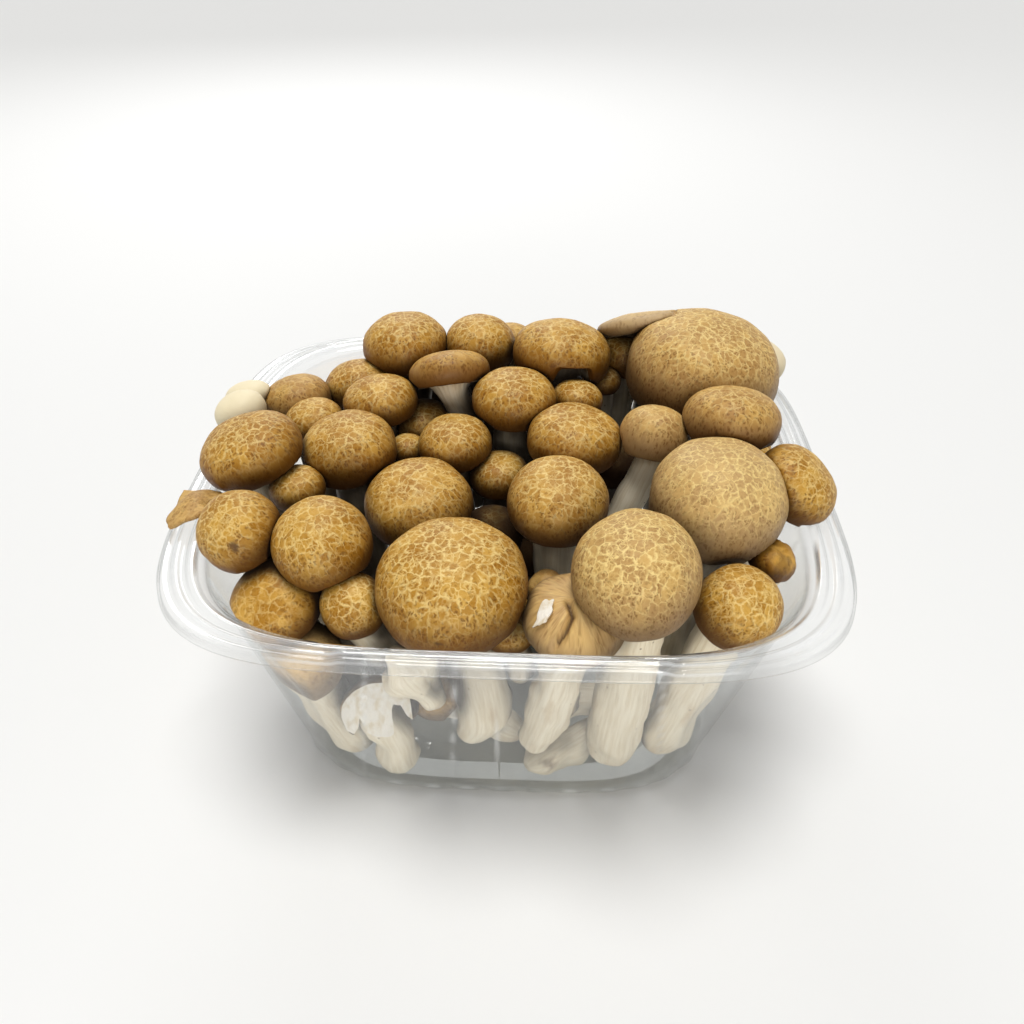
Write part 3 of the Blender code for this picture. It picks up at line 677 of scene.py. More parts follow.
def clear_of_others(points, hearts, item, mushrooms):
    """Pull points towards their hearts until they are nearer their own mushroom."""
    near = [other for other in mushrooms
            if other.name != item.name and other.distance(points).min() < NEAR_LIMIT]

    def allowed(place, own):
        free = in_free_space(place)
        for other in near:
            free &= other.distance(place) - own >= FINE_GAP
        return free

    busy = np.where(~allowed(points, item.distance(points)))[0]
    share = np.ones(len(points))
    if len(busy) == 0:
        return points
    start = hearts[busy]
    way = points[busy] - start
    low = np.zeros(len(busy))
    going = np.ones(len(busy), bool)
    for step in np.linspace(0.0, 1.0, WALK_STEPS + 1)[1:]:
        place = start + way * step
        going &= allowed(place, item.distance(place))
        low = np.where(going, step, low)
    high = np.minimum(low + 1.0 / WALK_STEPS, 1.0)
    for _ in range(HALVINGS):
        middle = (low + high) / 2
        place = start + way * middle[:, None]
        good = allowed(place, item.distance(place))
        low = np.where(good, middle, low)
        high = np.where(good, high, middle)
    share[busy] = low
    return hearts + (points - hearts) * share[:, None]


def cut_through(mesh, finish):
    """Cut away what stands in front of the cutting plane, and close the cut face."""
    build = bmesh.new()
    build.from_mesh(mesh)
    parts = list(build.verts) + list(build.edges) + list(build.faces)
    cut = bmesh.ops.bisect_plane(
        build, geom=parts, plane_co=[value * MM for value in CUT_POINT], plane_no=CUT_TURN,
        clear_outer=True)
    edges = [part for part in cut["geom_cut"] if isinstance(part, bmesh.types.BMEdge)]
    made = bmesh.ops.holes_fill(build, edges=edges, sides=0)["faces"]
    for face in made:
        face.material_index = finish
        face.smooth = False
    for edge in edges:
        edge.smooth = False
    bmesh.ops.triangulate(build, faces=made)
    build.to_mesh(mesh)
    build.free()


def grid_faces(rows, count):
    """Return the quads of a closed grid whose first and last rows are single points."""
    turn = np.arange(count)
    after = (turn + 1) % count
    crown = rows * count
    tip = crown + 1
    faces = [np.stack([np.full(count, crown), turn, after], axis=1)]
    quads = []
    for row in range(rows - 1):
        upper = row * count
        lower = upper + count
        quads.append(np.stack([upper + turn, lower + turn, lower + after, upper + after], axis=1))
    last = (rows - 1) * count
    faces.append(np.concatenate(quads))
    faces.append(np.stack([np.full(count, tip), last + after, last + turn], axis=1))
    return faces


def mesh_from_faces(name, points, faces):
    """Make a mesh from points in millimetres and arrays of faces with the same sides."""
    mesh = bpy.data.meshes.new(name)
    mesh.vertices.add(len(points))
    mesh.vertices.foreach_set("co", (points * MM).astype(np.float32).ravel())
    loops = np.concatenate([part.ravel() for part in faces])
    sides = np.concatenate([np.full(len(part), part.shape[1]) for part in faces])
    starts = np.concatenate([[0], np.cumsum(sides)[:-1]])
    mesh.loops.add(len(loops))
    mesh.loops.foreach_set("vertex_index", loops.astype(np.int32))
    mesh.polygons.add(len(sides))
    mesh.polygons.foreach_set("loop_start", starts.astype(np.int32))
    mesh.update(calc_edges=True)
    mesh.validate()
    mesh.shade_smooth()
    return mesh


def placed(name, data):
    """Put a new object with the given data into the scene."""
    item = bpy.data.objects.new(name, data)
    bpy.context.scene.collection.objects.link(item)
    return item


def set_attribute(mesh, name, values):
    """Store a number or a vector for each point of a mesh."""
    kind = "FLOAT_VECTOR" if values.ndim == 2 else "FLOAT"
    layer = mesh.attributes.new(name, kind, "POINT")
    field = "vector" if values.ndim == 2 else "value"
    layer.data.foreach_set(field, values.astype(np.float32).ravel())


def is_hidden(item):
    """Tell whether a mushroom stands where the caps hide it."""
    return item.name.startswith("hidden")


def fineness(item):
    """Return how many points go round a mushroom."""
    spacing = HIDDEN_SPACING if is_hidden(item) else CAP_SPACING
    widest = item.stem_radius if isinstance(item, StemPiece) else item.radius
    count = 4 * round(2 * math.pi * widest / spacing / 4)
    return max(LEAST_POINTS, min(count, MOST_POINTS))


def lumps(item, seed, grid, places, cap_keys):
    """Return how far each point of a mushroom's skin stands out of its smooth form."""
    broad = Noise(seed, BROAD_WAVE).at(grid)
    small = Noise(seed + 1, SMALL_WAVE).at(grid)
    in_cap = np.clip(cap_keys - places, 0.0, 1.0)[:, None]
    cap_part = CAP_BROAD * item.radius * broad + CAP_SMALL * small if cap_keys else 0.0
    stem_part = STEM_BROAD * item.stem_radius * broad + STEM_SMALL * small
    return (in_cap * cap_part + (1 - in_cap) * stem_part) * ROUGH.get(item.name, 1.0)


def with_gills(item, grid, places):
    """Fold the underside of a cap into gills."""
    count = grid.shape[1]
    turn = np.arange(count) * (2 * math.pi / count) * (count // POINTS_PER_GILL)
    wave = 0.5 - 0.5 * np.cos(turn)
    after_edge = np.clip((places - EDGE_KEY - 1) * 2, 0, 1)
    before_neck = np.clip((NECK_KEY + GILL_END - places) * 2, 0, 1)
    inside = (after_edge * before_neck)[:, None] * wave[None]
    return grid + item.axis * inside[:, :, None] * (GILL_DEPTH * item.radius)


def line_distance(points, line):
    """Return the distance from above of each point to a bent line."""
    best = np.full(points.shape[:-1], 1e9)
    corners = np.array(line)
    for start, end in zip(corners[:-1], corners[1:]):
        along = end - start
        share = np.clip((points[..., :2] - start) @ along / (along @ along), 0.0, 1.0)
        reach = np.linalg.norm(points[..., :2] - start - share[..., None] * along, axis=-1)
        best = np.minimum(best, reach)
    return best


def with_crack(grid, places):
    """Sink a crack into the upper side of the cap."""
    groove = 1 - smooth_step(line_distance(grid, CRACK_LINE), 0.0, CRACK_WIDTH)
    on_top = (places < EDGE_KEY)[:, None]
    sunk = grid.copy()
    sunk[..., 2] -= CRACK_DEPTH * groove * on_top
    return sunk


def with_arch(grid, places, item):
    """Lift the cap's margin in one place to a small arch."""
    way = unit(np.array(ARCH_WAY))
    flat = grid[..., :2] - item.centre[:2]
    reach = np.maximum(np.linalg.norm(flat, axis=-1), 1e-6)
    turn = np.arccos(np.clip(flat @ way / reach, -1.0, 1.0))
    wide = 1 - smooth_step(turn, ARCH_CORE * ARCH_ANGLE, ARCH_ANGLE)
    low = hump(places, ARCH_RISE, ARCH_FALL)
    return grid + item.axis * (wide * low[:, None])[..., None] * ARCH_LIFT


def marks_and_crack_shade(item, points):
    """Return how strongly each point is marked, from 0 to 1: real marks, and the shade painted
    along the crack.
    """
    value = np.zeros(len(points))
    wander = Noise(len(item.name), MARK_WAVE).at(points)
    for middle, reach, strength in MARKS.get(item.name, ()):
        away = np.linalg.norm(points - np.array(middle), axis=1) + MARK_WANDER * reach * wander
        spot = 1 - smooth_step(away, MARK_CORE * reach, reach)
        value = np.maximum(value, strength * spot)
    # The crack's dark line is painted shade in its groove.
    if item.name == CRACK_NAME:
        above = points[:, 2] >= item.centre[2]
        line = 1 - smooth_step(line_distance(points, CRACK_LINE), *CRACK_SHADE)
        value = np.maximum(value, line * above)
    return value


def arc_lengths(grid):
    """Return the length down the skin to each row, averaged round the mushroom."""
    steps = np.linalg.norm(np.diff(grid, axis=0), axis=2).mean(axis=1)
    return np.concatenate([[0.0], np.cumsum(steps)])


def on_circle(radius, turn, along=0.0):
    """Return pattern coordinates round a circle, some way along the piece."""
    return np.stack([radius * np.cos(turn), radius * np.sin(turn), 0 * turn + along], axis=1)


def skin_coordinates(item, seed, grid, places, edge, neck):
    """Return the pattern's coordinates and the share down its zone, for every point.

    On the cap the coordinates are a flat map about the crown, on the stem they are the
    place round it and along it, all in millimetres and shifted by the seed.
    """
    turn = np.linspace(0.0, 2.0 * math.pi, grid.shape[1], endpoint=False)
    reach = arc_lengths(grid)
    edge_reach = np.interp(edge, places, reach)
    neck_reach = np.interp(neck, places, reach)
    coordinates = np.zeros(grid.shape)
    shares = np.zeros(grid.shape[:2])
    for row, (place, length) in enumerate(zip(places, reach)):
        if place <= edge:
            share = length / max(edge_reach, 1e-6)
            coordinates[row] = on_circle(length * (1.0 - CROWN_SQUEEZE * share ** 2), turn)
            if item.name == CRACK_NAME:
                seen = np.mod(turn + math.pi / 2, 2 * math.pi)
                coordinates[row, :, 0] = CRACKED_STRETCH[0] * item.radius * seen
                coordinates[row, :, 1] = CRACKED_STRETCH[1] * length
        elif place < neck:
            share = (length - edge_reach) / max(neck_reach - edge_reach, 1e-6)
            coordinates[row] = on_circle(item.radius, turn)
        else:
            share = (length - neck_reach) / max(reach[-1] - neck_reach, 1e-6)
            coordinates[row] = on_circle(item.stem_radius, turn, length - neck_reach)
        shares[row] = share
    shift = np.array(SEED_STEPS) * seed % SEED_RANGE
    return coordinates + shift, shares


def key_rows(item, count):
    """Return the key rows of a piece from crown to tip, and the heart of each row."""
    rings, centres, crown, tip = RING_MAKERS[type(item)](item, count)
    first = np.repeat([crown], count, axis=0)
    last = np.repeat([tip], count, axis=0)
    return np.array([first] + rings + [last]), np.array([centres[0]] + centres + [centres[-1]])


def row_spacings(item, cap_keys, steps):
    """Return how far apart the fine rows lie after each key row."""
    cap_spacing = HIDDEN_SPACING if is_hidden(item) else CAP_SPACING
    stem_spacing = HIDDEN_SPACING if is_hidden(item) else STEM_SPACING
    return [cap_spacing if key < cap_keys else stem_spacing for key in range(steps)]


def with_relief(item, index, grid, places, cap_keys):
    """Give a smooth skin its lumps, gills, crack and arch."""
    height = lumps(item, index * 10, grid, places, cap_keys)
    grid = grid + grid_normals(grid) * height[:, :, None]
    if cap_keys:
        grid = with_gills(item, grid, places)
    if item.name == CRACK_NAME:
        grid = with_crack(grid, places)
    if item.name == ARCH_NAME:
        grid = with_arch(grid, places, item)
    return grid


def as_points(grid):
    """Return a grid as a list: the rows in between, then the crown and the tip."""
    inner = grid[1:-1].reshape((-1,) + grid.shape[2:])
    return np.concatenate([inner, grid[0, :1], grid[-1, :1]])


def set_look(mesh, look):
    """Store how pale a cap is and how strong its net is."""
    for name, value in zip(("pale", "net"), look):
        set_attribute(mesh, name, np.full(len(mesh.vertices), value))


def store_looks(mesh, item, points, field):
    """Store how open each point is, which sets the shade painted there, how strongly it is marked
    or shaded along the crack, and the look of the cap.
    """
    normal = np.zeros(len(points) * 3, np.float32)
    mesh.vertices.foreach_get("normal", normal)
    seen = openness_at(field, points + normal.reshape(-1, 3) * CELL)
    set_attribute(mesh, "open", seen + OPEN_SHIFT.get(item.name, 0.0))
    set_attribute(mesh, "mark", marks_and_crack_shade(item, points))
    set_look(mesh, LOOKS.get(item.name, PLAIN_LOOK))


def face_zones(places, edge, cap_keys, count):
    """Return the number of each face's finish: cap skin, gills or stem."""
    inner = places[1:-1]
    zone = np.where(inner < edge, 0, np.where(inner < cap_keys, 1, 2))
    zones = [np.full(count, zone[0]), np.repeat(zone[:-1], count), np.full(count, zone[-1])]
    return np.concatenate(zones).astype(np.int32)


def build_mushroom(index, item, mushrooms, finishes, field):
    """Skin one mushroom finely, clear of its neighbours and of the punnet."""
    count = fineness(item)
    cap_keys = 0 if isinstance(item, StemPiece) else NECK_KEY + 1
    edge = EDGE_KEY + 1 if cap_keys else 0
    keys, hearts = key_rows(item, count)
    spacings = row_spacings(item, cap_keys, len(keys) - 1)
    grid, hearts, places = smooth_rows(keys, hearts, spacings)
    coordinates, shares = skin_coordinates(item, index + 1, grid, places, edge, cap_keys)
    grid = with_relief(item, index, grid, places, cap_keys)
    hearts = np.repeat(hearts[:, None], count, axis=1)
    points = clear_of_others(as_points(grid), as_points(hearts), item, mushrooms)
    mesh = mesh_from_faces(item.name + "_skin", points, grid_faces(len(grid) - 2, count))
    set_attribute(mesh, "skin", as_points(coordinates))
    set_attribute(mesh, "share", as_points(shares))
    store_looks(mesh, item, points, field)
    for finish in finishes:
        mesh.materials.append(finish)
    mesh.polygons.foreach_set("material_index", face_zones(places, edge, cap_keys, count))
    if item.name == CUT_NAME:
        cut_through(mesh, len(finishes) - 1)
    piece = placed("skin_" + item.name, mesh)
    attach(piece, "root")
    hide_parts(item.name)
    SLOTS[type(item)]


# How much of the sky and the sides each place in the heap sees, which sets the shade painted there


# The field's cells: size and lowest corner in millimetres, and how many.
CELL = 2.5
FIELD_LOW = np.array((-80.0, -74.0, -2.0))
FIELD_COUNTS = (64, 60, 40)

# Directions to the sky and a little below the horizon: degrees up, and how many. Along
# each the cells are looked up in steps.
SKY_ROWS = ((-10, 8), (12, 10), (38, 10), (64, 6), (88, 1))
SEEN_STEPS = 14
STEP_CELLS = 1.15


def sky_directions():
    """Return directions spread over the sky. Each row starts at another angle."""
    directions = []
    for lift, turns in SKY_ROWS:
        level = math.cos(math.radians(lift))
        rise = math.sin(math.radians(lift))
        for turn in np.arange(turns) * 2 * math.pi / turns + lift:
            directions.append((level * math.cos(turn), level * math.sin(turn), rise))
    return np.array(directions)


def openness_field(mushrooms):
    """Return for each cell of a box round the heap the share of directions that are free."""
    axes = [FIELD_LOW[axis] + CELL * np.arange(FIELD_COUNTS[axis]) for axis in range(3)]
    cells = np.stack(np.meshgrid(*axes, indexing="ij"), axis=-1).reshape(-1, 3)
    filled = np.zeros(len(cells), bool)
    for item in mushrooms:
        filled |= item.distance(cells) < 0.0
    filled = filled.reshape(FIELD_COUNTS)
    total = np.zeros(FIELD_COUNTS)
    weights = 0.0
    for direction in sky_directions():
        free = np.ones(FIELD_COUNTS, bool)
        for step in range(1, SEEN_STEPS + 1):
            shift = np.round(direction * step * STEP_CELLS).astype(int)
            free &= ~shifted(filled, shift)
        weight = 0.5 + 0.5 * max(direction[2], 0.0)
        total += free * weight
        weights += weight
    return total / weights


def shifted(cells, shift):
    """Return a grid of cells looked up some cells further on, empty outside."""
    result = np.zeros_like(cells)
    source = []
    target = []
    for size, move in zip(cells.shape, shift):
        source.append(slice(max(move, 0), size + min(move, 0)))
        target.append(slice(max(-move, 0), size + min(-move, 0)))
    result[tuple(target)] = cells[tuple(source)]
    return result


def openness_at(field, points):
    """Return the field's value at each point, blended between cells."""
    place = np.clip((points - FIELD_LOW) / CELL, 0, np.array(FIELD_COUNTS) - 1.001)
    low = place.astype(int)
    share = place - low
    value = np.zeros(len(points))
    for corner in range(8):
        step = np.array([corner & 1, corner >> 1 & 1, corner >> 2 & 1])
        weight = np.prod(np.where(step, share, 1 - share), axis=1)
        near = low + step
        value += weight * field[near[:, 0], near[:, 1], near[:, 2]]
    return value


# Materials


class Graph:
    """A short way to wire the nodes of one material."""

    def __init__(self, name):
        self.material = bpy.data.materials.new(name)
        self.material.use_nodes = True
        self.tree = self.material.node_tree
        self.shader = self.tree.nodes["Principled BSDF"]
        self.output = self.tree.nodes["Material Output"]

    def node(self, kind, inputs=None, **settings):
        """Add a node, set its options, and set or link its inputs."""
        node = self.tree.nodes.new(kind)
        for key, value in settings.items():
            setattr(node, key, value)
        for key, value in (inputs or {}).items():
            self.put(node.inputs[key], value)
        return node

    def put(self, socket, value):
        """Link a socket to another, or set its value."""
        if isinstance(value, bpy.types.NodeSocket):
            self.tree.links.new(value, socket)
        else:
            socket.default_value = value

    def attribute(self, name, vector=False):
        """Return the output of a stored attribute."""
        node = self.node("ShaderNodeAttribute", attribute_name=name)
        return node.outputs["Vector" if vector else "Fac"]

    def math(self, operation, first, second=0.0, third=0.0, clamp=False):
        """Return the result of one sum."""
        node = self.node("ShaderNodeMath", {0: first, 1: second, 2: third},
                         operation=operation, use_clamp=clamp)
        return node.outputs[0]

    def scale(self, vector, factors):
        """Return a vector times three factors."""
        node = self.node("ShaderNodeVectorMath", {0: vector, 1: factors}, operation="MULTIPLY")
        return node.outputs[0]

    def add(self, first, second):
        """Return the sum of two vectors."""
        node = self.node("ShaderNodeVectorMath", {0: first, 1: second}, operation="ADD")
        return node.outputs[0]

    def times(self, first, second, clamp=False):
        """Return the product of two values."""
        return self.math("MULTIPLY", first, second, clamp=clamp)

    def rest(self, value):
        """Return what a value leaves of one."""
        return self.math("SUBTRACT", 1.0, value)

    def noise(self, vector, scale, detail=2.0, roughness=0.5, output="Fac"):
        """Return smooth noise from 0 to 1, or three channels of it as a colour."""
        node = self.node("ShaderNodeTexNoise", {"Vector": vector, "Scale": scale,
                                                "Detail": detail, "Roughness": roughness})
        return node.outputs[output]

    def cells(self, vector, scale, feature, output, dimensions="2D"):
        """Return one output of a cell pattern."""
        node = self.node("ShaderNodeTexVoronoi", {"Vector": vector, "Scale": scale},
                         voronoi_dimensions=dimensions, feature=feature)
        return node.outputs[output]

    def fade(self, value, start, end, low=0.0, high=1.0):
        """Return a smooth step of a value from low at start to high at end."""
        inputs = {"Value": value, "From Min": start, "From Max": end,
                  "To Min": low, "To Max": high}
        node = self.node("ShaderNodeMapRange", inputs, interpolation_type="SMOOTHSTEP")
        return node.outputs["Result"]

    def blend(self, factor, first, second):
        """Return a mix of two colours."""
        inputs = {0: factor, 6: first, 7: second}
        return self.node("ShaderNodeMix", inputs, data_type="RGBA").outputs[2]

    def mix(self, factor, first, second):
        """Return a mix of two shaders."""
        return self.node("ShaderNodeMixShader", {0: factor, 1: first, 2: second}).outputs[0]

    def bump(self, height, distance, strength):
        """Return a bumped normal."""
        node = self.node("ShaderNodeBump", {"Height": height, "Distance": distance,
                                            "Strength": strength})
        return node.outputs["Normal"]

    def finish(self, base, roughness, specular, normal=None):
        """Set the shader's inputs and return the material."""
        self.put(self.shader.inputs["Base Color"], base)
        self.put(self.shader.inputs["Roughness"], roughness)
        self.put(self.shader.inputs["Specular IOR Level"], specular)
        if normal is not None:
            self.put(self.shader.inputs["Normal"], normal)
        return self.material


def colour(red, green, blue):
    """Return a linear colour with full alpha from sRGB values of 0 to 255."""
    def linear(value):
        value /= 255.0
        return value / 12.92 if value <= 0.04045 else ((value + 0.055) / 1.055) ** 2.4
    return (linear(red), linear(green), linear(blue), 1.0)


CAP_LIGHT = colour(206, 158, 68)
CAP_DEEP = colour(166, 114, 26)
# The margin's deeper brown, which also paints the shade of the lower margin.
EDGE_BROWN_AND_SHADE = colour(116, 70, 10)
CAP_SPOT = colour(106, 64, 12)
NET_CREAM = colour(244, 216, 144)
PALE_SKIN = colour(228, 203, 156)
CREAM_SKIN = colour(246, 232, 196)
STEM_LIGHT = colour(243, 232, 207)
STEM_DEEP = colour(212, 192, 154)
STEM_TAN = colour(196, 164, 118)
SPECK = colour(122, 92, 60)
# The painted shade, for places in the heap that see little sky.
PAINTED_SHADE_BROWN = colour(38, 21, 6)
MARK_AND_CRACK_SHADE = colour(84, 58, 30)
GILL_LIGHT = colour(236, 222, 190)
GILL_GAP_SHADE = colour(184, 154, 104)
FLESH_WHITE = colour(246, 240, 228)
FLESH_CREAM = colour(226, 212, 184)


# The net on the caps: cells in a millimetre, and the scale, detail and reach of the sways
# that make its lines wander.
BIG_CELLS = 0.52
SMALL_CELLS = 1.15
NET_SWAYS = ((0.45, 2.0, 1.5), (1.8, 1.0, 0.8))

# Noises of the caps: scale in waves to a millimetre, and detail.
WIDTH_NOISE = (0.34, 2.0)
BREAK_NOISE = (0.9, 1.0)
PATCH_NOISE = (0.45, 2.0)
SPOT_NOISE = (0.6, 1.0)
CLOUD_NOISE = (0.16, 3.0)
GLOSS_NOISE = (1.2, 2.0)
GRAIN_NOISE = (3.0, 2.0)

# Noises of the stems and the gills, drawn out along them, and of the flesh, whose scale is
# in waves to a metre.
FIBRE_DRAWN = (1.0, 1.0, 0.07)
FIBRE_NOISE = (1.5, 4.0, 0.65)
BLOTCH_DRAWN = (1.0, 1.0, 0.45)
BLOTCH_NOISE = (0.22, 3.0)
BLADE_DRAWN = (1.0, 1.0, 0.1)
BLADE_NOISE = (1.3, 2.0)
FLESH_DRAWN = (1.0, 1.0, 0.4)
FLESH_PATCHES = (700.0, 3.0)
FLESH_FINE = (3000.0, 3.0, 0.65)

# Fades of the caps: where each starts and ends, and how strong it is at either.
LINE_WIDTH = (0.34, 0.68, 0.10, 0.26)
LINE_BREAKS = (0.30, 0.58, 0.35, 1.0)
FINE_LINES = (0.0, 0.26)
FINE_PATCHES = (0.42, 0.66)
NET_DOWN = (0.25, 0.82, 0.80, 0.05)
CLOUDS = (0.30, 0.75)
# EDGE_DOWN darkens the lower margin: partly the cap's own deeper brown, partly painted shade.
EDGE_DOWN = (0.44, 0.90, 0.0, 0.95)
PALE_TURN = (0.0, 1.0, 0.0, 0.85)
CREAM_TURN = (0.7, 1.0)
SPOT_SIZE = (0.10, 0.55)
SPOT_PATCHES = (0.38, 0.60)
SPOT_DOWN = (0.20, 0.55, 0.25, 0.80)
SPOT_EDGE = (0.80, 0.97, 1.0, 0.2)
SPOT_PALE = (0.15, 0.9, 1.0, 0.0)
# SHADE_CAP, SHADE_UNDER and UNDER_DOWN paint shade on the caps: by how little sky a point sees, and
# on the lower margin within the heap.
SHADE_CAP = (0.0, 0.52, 0.985, 0.0)
SHADE_UNDER = (0.35, 0.95, 0.66, 0.0)
UNDER_DOWN = (0.40, 0.82)

# Fades of the stems, the gills and the flesh.
FIBRE_TONE = (0.36, 0.72, 0.0, 0.60)
BLOTCH_TONE = (0.56, 0.80, 0.0, 0.55)
FOOT_DOWN = (0.72, 1.0)
FOOT_PATCHES = (0.42, 0.65)
SPECK_CELLS = 0.36
SPECK_SIZE = (0.05, 0.13)
SPECK_SHARE = (0.74, 0.80)
# SHADE_STEM and SHADE_GILLS paint shade by how little sky a point sees.
SHADE_STEM = (0.03, 0.44, 0.96, 0.0)
# BLADE_TONE sets where the painted shade in the gaps between gill blades starts and ends.
BLADE_TONE = (0.35, 0.68)
SHADE_GILLS = (0.05, 0.40, 0.90, 0.10)
FLESH_TONE = (0.40, 0.72)

# Height of the skin's grain in metres.
SKIN_GRAIN = 0.00012
GILL_GRAIN = 0.0003
FLESH_GRAIN = 0.0004


def swayed(g, place):
    """Return the coordinates swayed, so that the net's lines wander."""
    result = place
    for scale, detail, reach in NET_SWAYS:
        sway = g.add(g.noise(place, scale, detail, output="Color"), (-0.5, -0.5, -0.5))
        result = g.add(result, g.scale(sway, (reach, reach, 0.0)))
    return result


def net_lines(g, place, wander, down):
    """Return how strong the net is: wide broken lines, and fine ones in patches."""
    big_edge = g.cells(wander, BIG_CELLS, "DISTANCE_TO_EDGE", "Distance")
    width = g.fade(g.noise(place, *WIDTH_NOISE), *LINE_WIDTH)
    broken = g.fade(g.noise(place, *BREAK_NOISE), *LINE_BREAKS)
    big_line = g.times(g.rest(g.fade(big_edge, 0.0, width)), broken)
    small_edge = g.cells(wander, SMALL_CELLS, "DISTANCE_TO_EDGE", "Distance")
    patchy = g.fade(g.noise(place, *PATCH_NOISE), *FINE_PATCHES)
    patchy = g.math("MULTIPLY_ADD", patchy, 0.60, 0.10)
    small_line = g.times(g.rest(g.fade(small_edge, *FINE_LINES)), patchy)
    strength = g.times(g.fade(down, *NET_DOWN), g.attribute("net"), clamp=True)
    return g.times(g.math("MAXIMUM", big_line, small_line), strength)


def cap_spots(g, place, wander, down, pale):
    """Return how dark the spots in the middle of the cells are."""
    spot = g.rest(g.fade(g.cells(wander, SMALL_CELLS, "F1", "Distance"), *SPOT_SIZE))
    spot = g.times(spot, g.fade(g.noise(place, *SPOT_NOISE), *SPOT_PATCHES))
    spot = g.times(spot, g.fade(down, *SPOT_DOWN))
    spot = g.times(spot, g.fade(down, *SPOT_EDGE))
    return g.times(spot, g.fade(pale, *SPOT_PALE))


def cap_colour(g, place, wander, down):
    """Return the brown of the cells: cloudy, deeper to the edge, partly as the cap's own brown and
    partly as painted shade of the lower margin, and paler on pale caps.
    """
    pale = g.attribute("pale")
    tone = g.math("MULTIPLY_ADD", g.cells(wander, BIG_CELLS, "F1", "Color"), 0.35, -0.10)
    cloudy = g.math("ADD", g.noise(place, *CLOUD_NOISE), tone)
    base = g.blend(g.fade(cloudy, *CLOUDS), CAP_LIGHT, CAP_DEEP)
    # Darker to the lower margin: partly the cap's own deeper brown, partly painted shade.
    base = g.blend(g.fade(down, *EDGE_DOWN), base, EDGE_BROWN_AND_SHADE)
    base = g.blend(g.fade(pale, *PALE_TURN), base, PALE_SKIN)
    base = g.blend(g.fade(pale, *CREAM_TURN), base, CREAM_SKIN)
    return g.blend(cap_spots(g, place, wander, down, pale), base, CAP_SPOT)


def cap_material():
    """Return the skin of the caps: brown cells in a pale net that fades to the edge, with shade
    painted on in dark brown where little sky is seen and on the lower margin within the heap.
    """
    g = Graph("cap_skin")
    place = g.attribute("skin", vector=True)
    down = g.attribute("share")
    sky = g.attribute("open")
    wander = swayed(g, place)
    line = net_lines(g, place, wander, down)
    skin = g.blend(line, cap_colour(g, place, wander, down), NET_CREAM)
    # Dark marks, and the painted shade along the crack.
    skin = g.blend(g.attribute("mark"), skin, MARK_AND_CRACK_SHADE)
    # Painted shade: dark brown where little sky is seen, and on the lower margin where the heap
    # hides the sky; such places are also made rougher.
    under = g.times(g.fade(down, *UNDER_DOWN), g.fade(sky, *SHADE_UNDER))
    painted_shade = g.math("MAXIMUM", g.fade(sky, *SHADE_CAP), under)
    rough = g.math("MULTIPLY_ADD", g.noise(place, *GLOSS_NOISE), 0.22, 0.36)
    height = g.math("MULTIPLY_ADD", line, 0.8, g.times(g.noise(place, *GRAIN_NOISE), 0.5))
    return g.finish(g.blend(painted_shade, skin, PAINTED_SHADE_BROWN), g.math("MAXIMUM", rough, painted_shade), 0.22,
                    g.bump(height, SKIN_GRAIN, 0.6))


def stem_material():
    """Return the flesh of the stems: cream, with fibres along them and small specks, and shade
    painted on where little sky is seen.
    """
    g = Graph("stem_flesh")
    place = g.attribute("skin", vector=True)
    fibre = g.noise(g.scale(place, FIBRE_DRAWN), *FIBRE_NOISE)
    blotch = g.noise(g.scale(place, BLOTCH_DRAWN), *BLOTCH_NOISE)
    base = g.blend(g.fade(fibre, *FIBRE_TONE), STEM_LIGHT, STEM_DEEP)
    base = g.blend(g.fade(blotch, *BLOTCH_TONE), base, STEM_TAN)
    foot = g.times(g.fade(g.attribute("share"), *FOOT_DOWN), g.fade(blotch, *FOOT_PATCHES))
    base = g.blend(g.times(foot, 0.55), base, STEM_TAN)
    reach = g.cells(place, SPECK_CELLS, "F1", "Distance", "3D")
    chance = g.cells(place, SPECK_CELLS, "F1", "Color", "3D")
    few = g.fade(g.node("ShaderNodeSeparateColor", {0: chance}).outputs[0], *SPECK_SHARE)
    dot = g.times(g.rest(g.fade(reach, *SPECK_SIZE)), few)
    base = g.blend(g.times(dot, 0.7), base, SPECK)
    base = g.blend(g.attribute("mark"), base, SPECK)
    # Painted shade where little sky is seen.
    painted_shade = g.fade(g.attribute("open"), *SHADE_STEM)
    height = g.math("MULTIPLY_ADD", fibre, 1.0, g.times(blotch, 0.8))
    return g.finish(g.blend(painted_shade, base, PAINTED_SHADE_BROWN), 0.52, 0.35, g.bump(height, SKIN_GRAIN, 0.5))


def gill_material():
    """Return the gills: cream blades with gaps darkened as painted shade, and shade painted on
    where little sky is seen.
    """
    g = Graph("gills")
    place = g.attribute("skin", vector=True)
    blades = g.noise(g.scale(place, BLADE_DRAWN), *BLADE_NOISE)
    # The gaps between the blades are darker as painted shade.
    base = g.blend(g.fade(blades, *BLADE_TONE), GILL_LIGHT, GILL_GAP_SHADE)
    # Painted shade where little sky is seen.
    painted_shade = g.fade(g.attribute("open"), *SHADE_GILLS)
    return g.finish(g.blend(painted_shade, base, PAINTED_SHADE_BROWN), 0.6, 0.3, g.bump(blades, GILL_GRAIN, 0.6))


def flesh_material():
    """Return the white flesh of a cut or torn face."""
    g = Graph("white_flesh")
    coord = g.node("ShaderNodeTexCoord").outputs["Object"]
    patch = g.noise(g.scale(coord, FLESH_DRAWN), *FLESH_PATCHES)
    fine = g.noise(coord, *FLESH_FINE)
    base = g.blend(g.fade(patch, *FLESH_TONE), FLESH_WHITE, FLESH_CREAM)
    height = g.math("MULTIPLY_ADD", fine, 0.5, patch)
    return g.finish(base, 0.75, 0.25, g.bump(height, FLESH_GRAIN, 0.7))


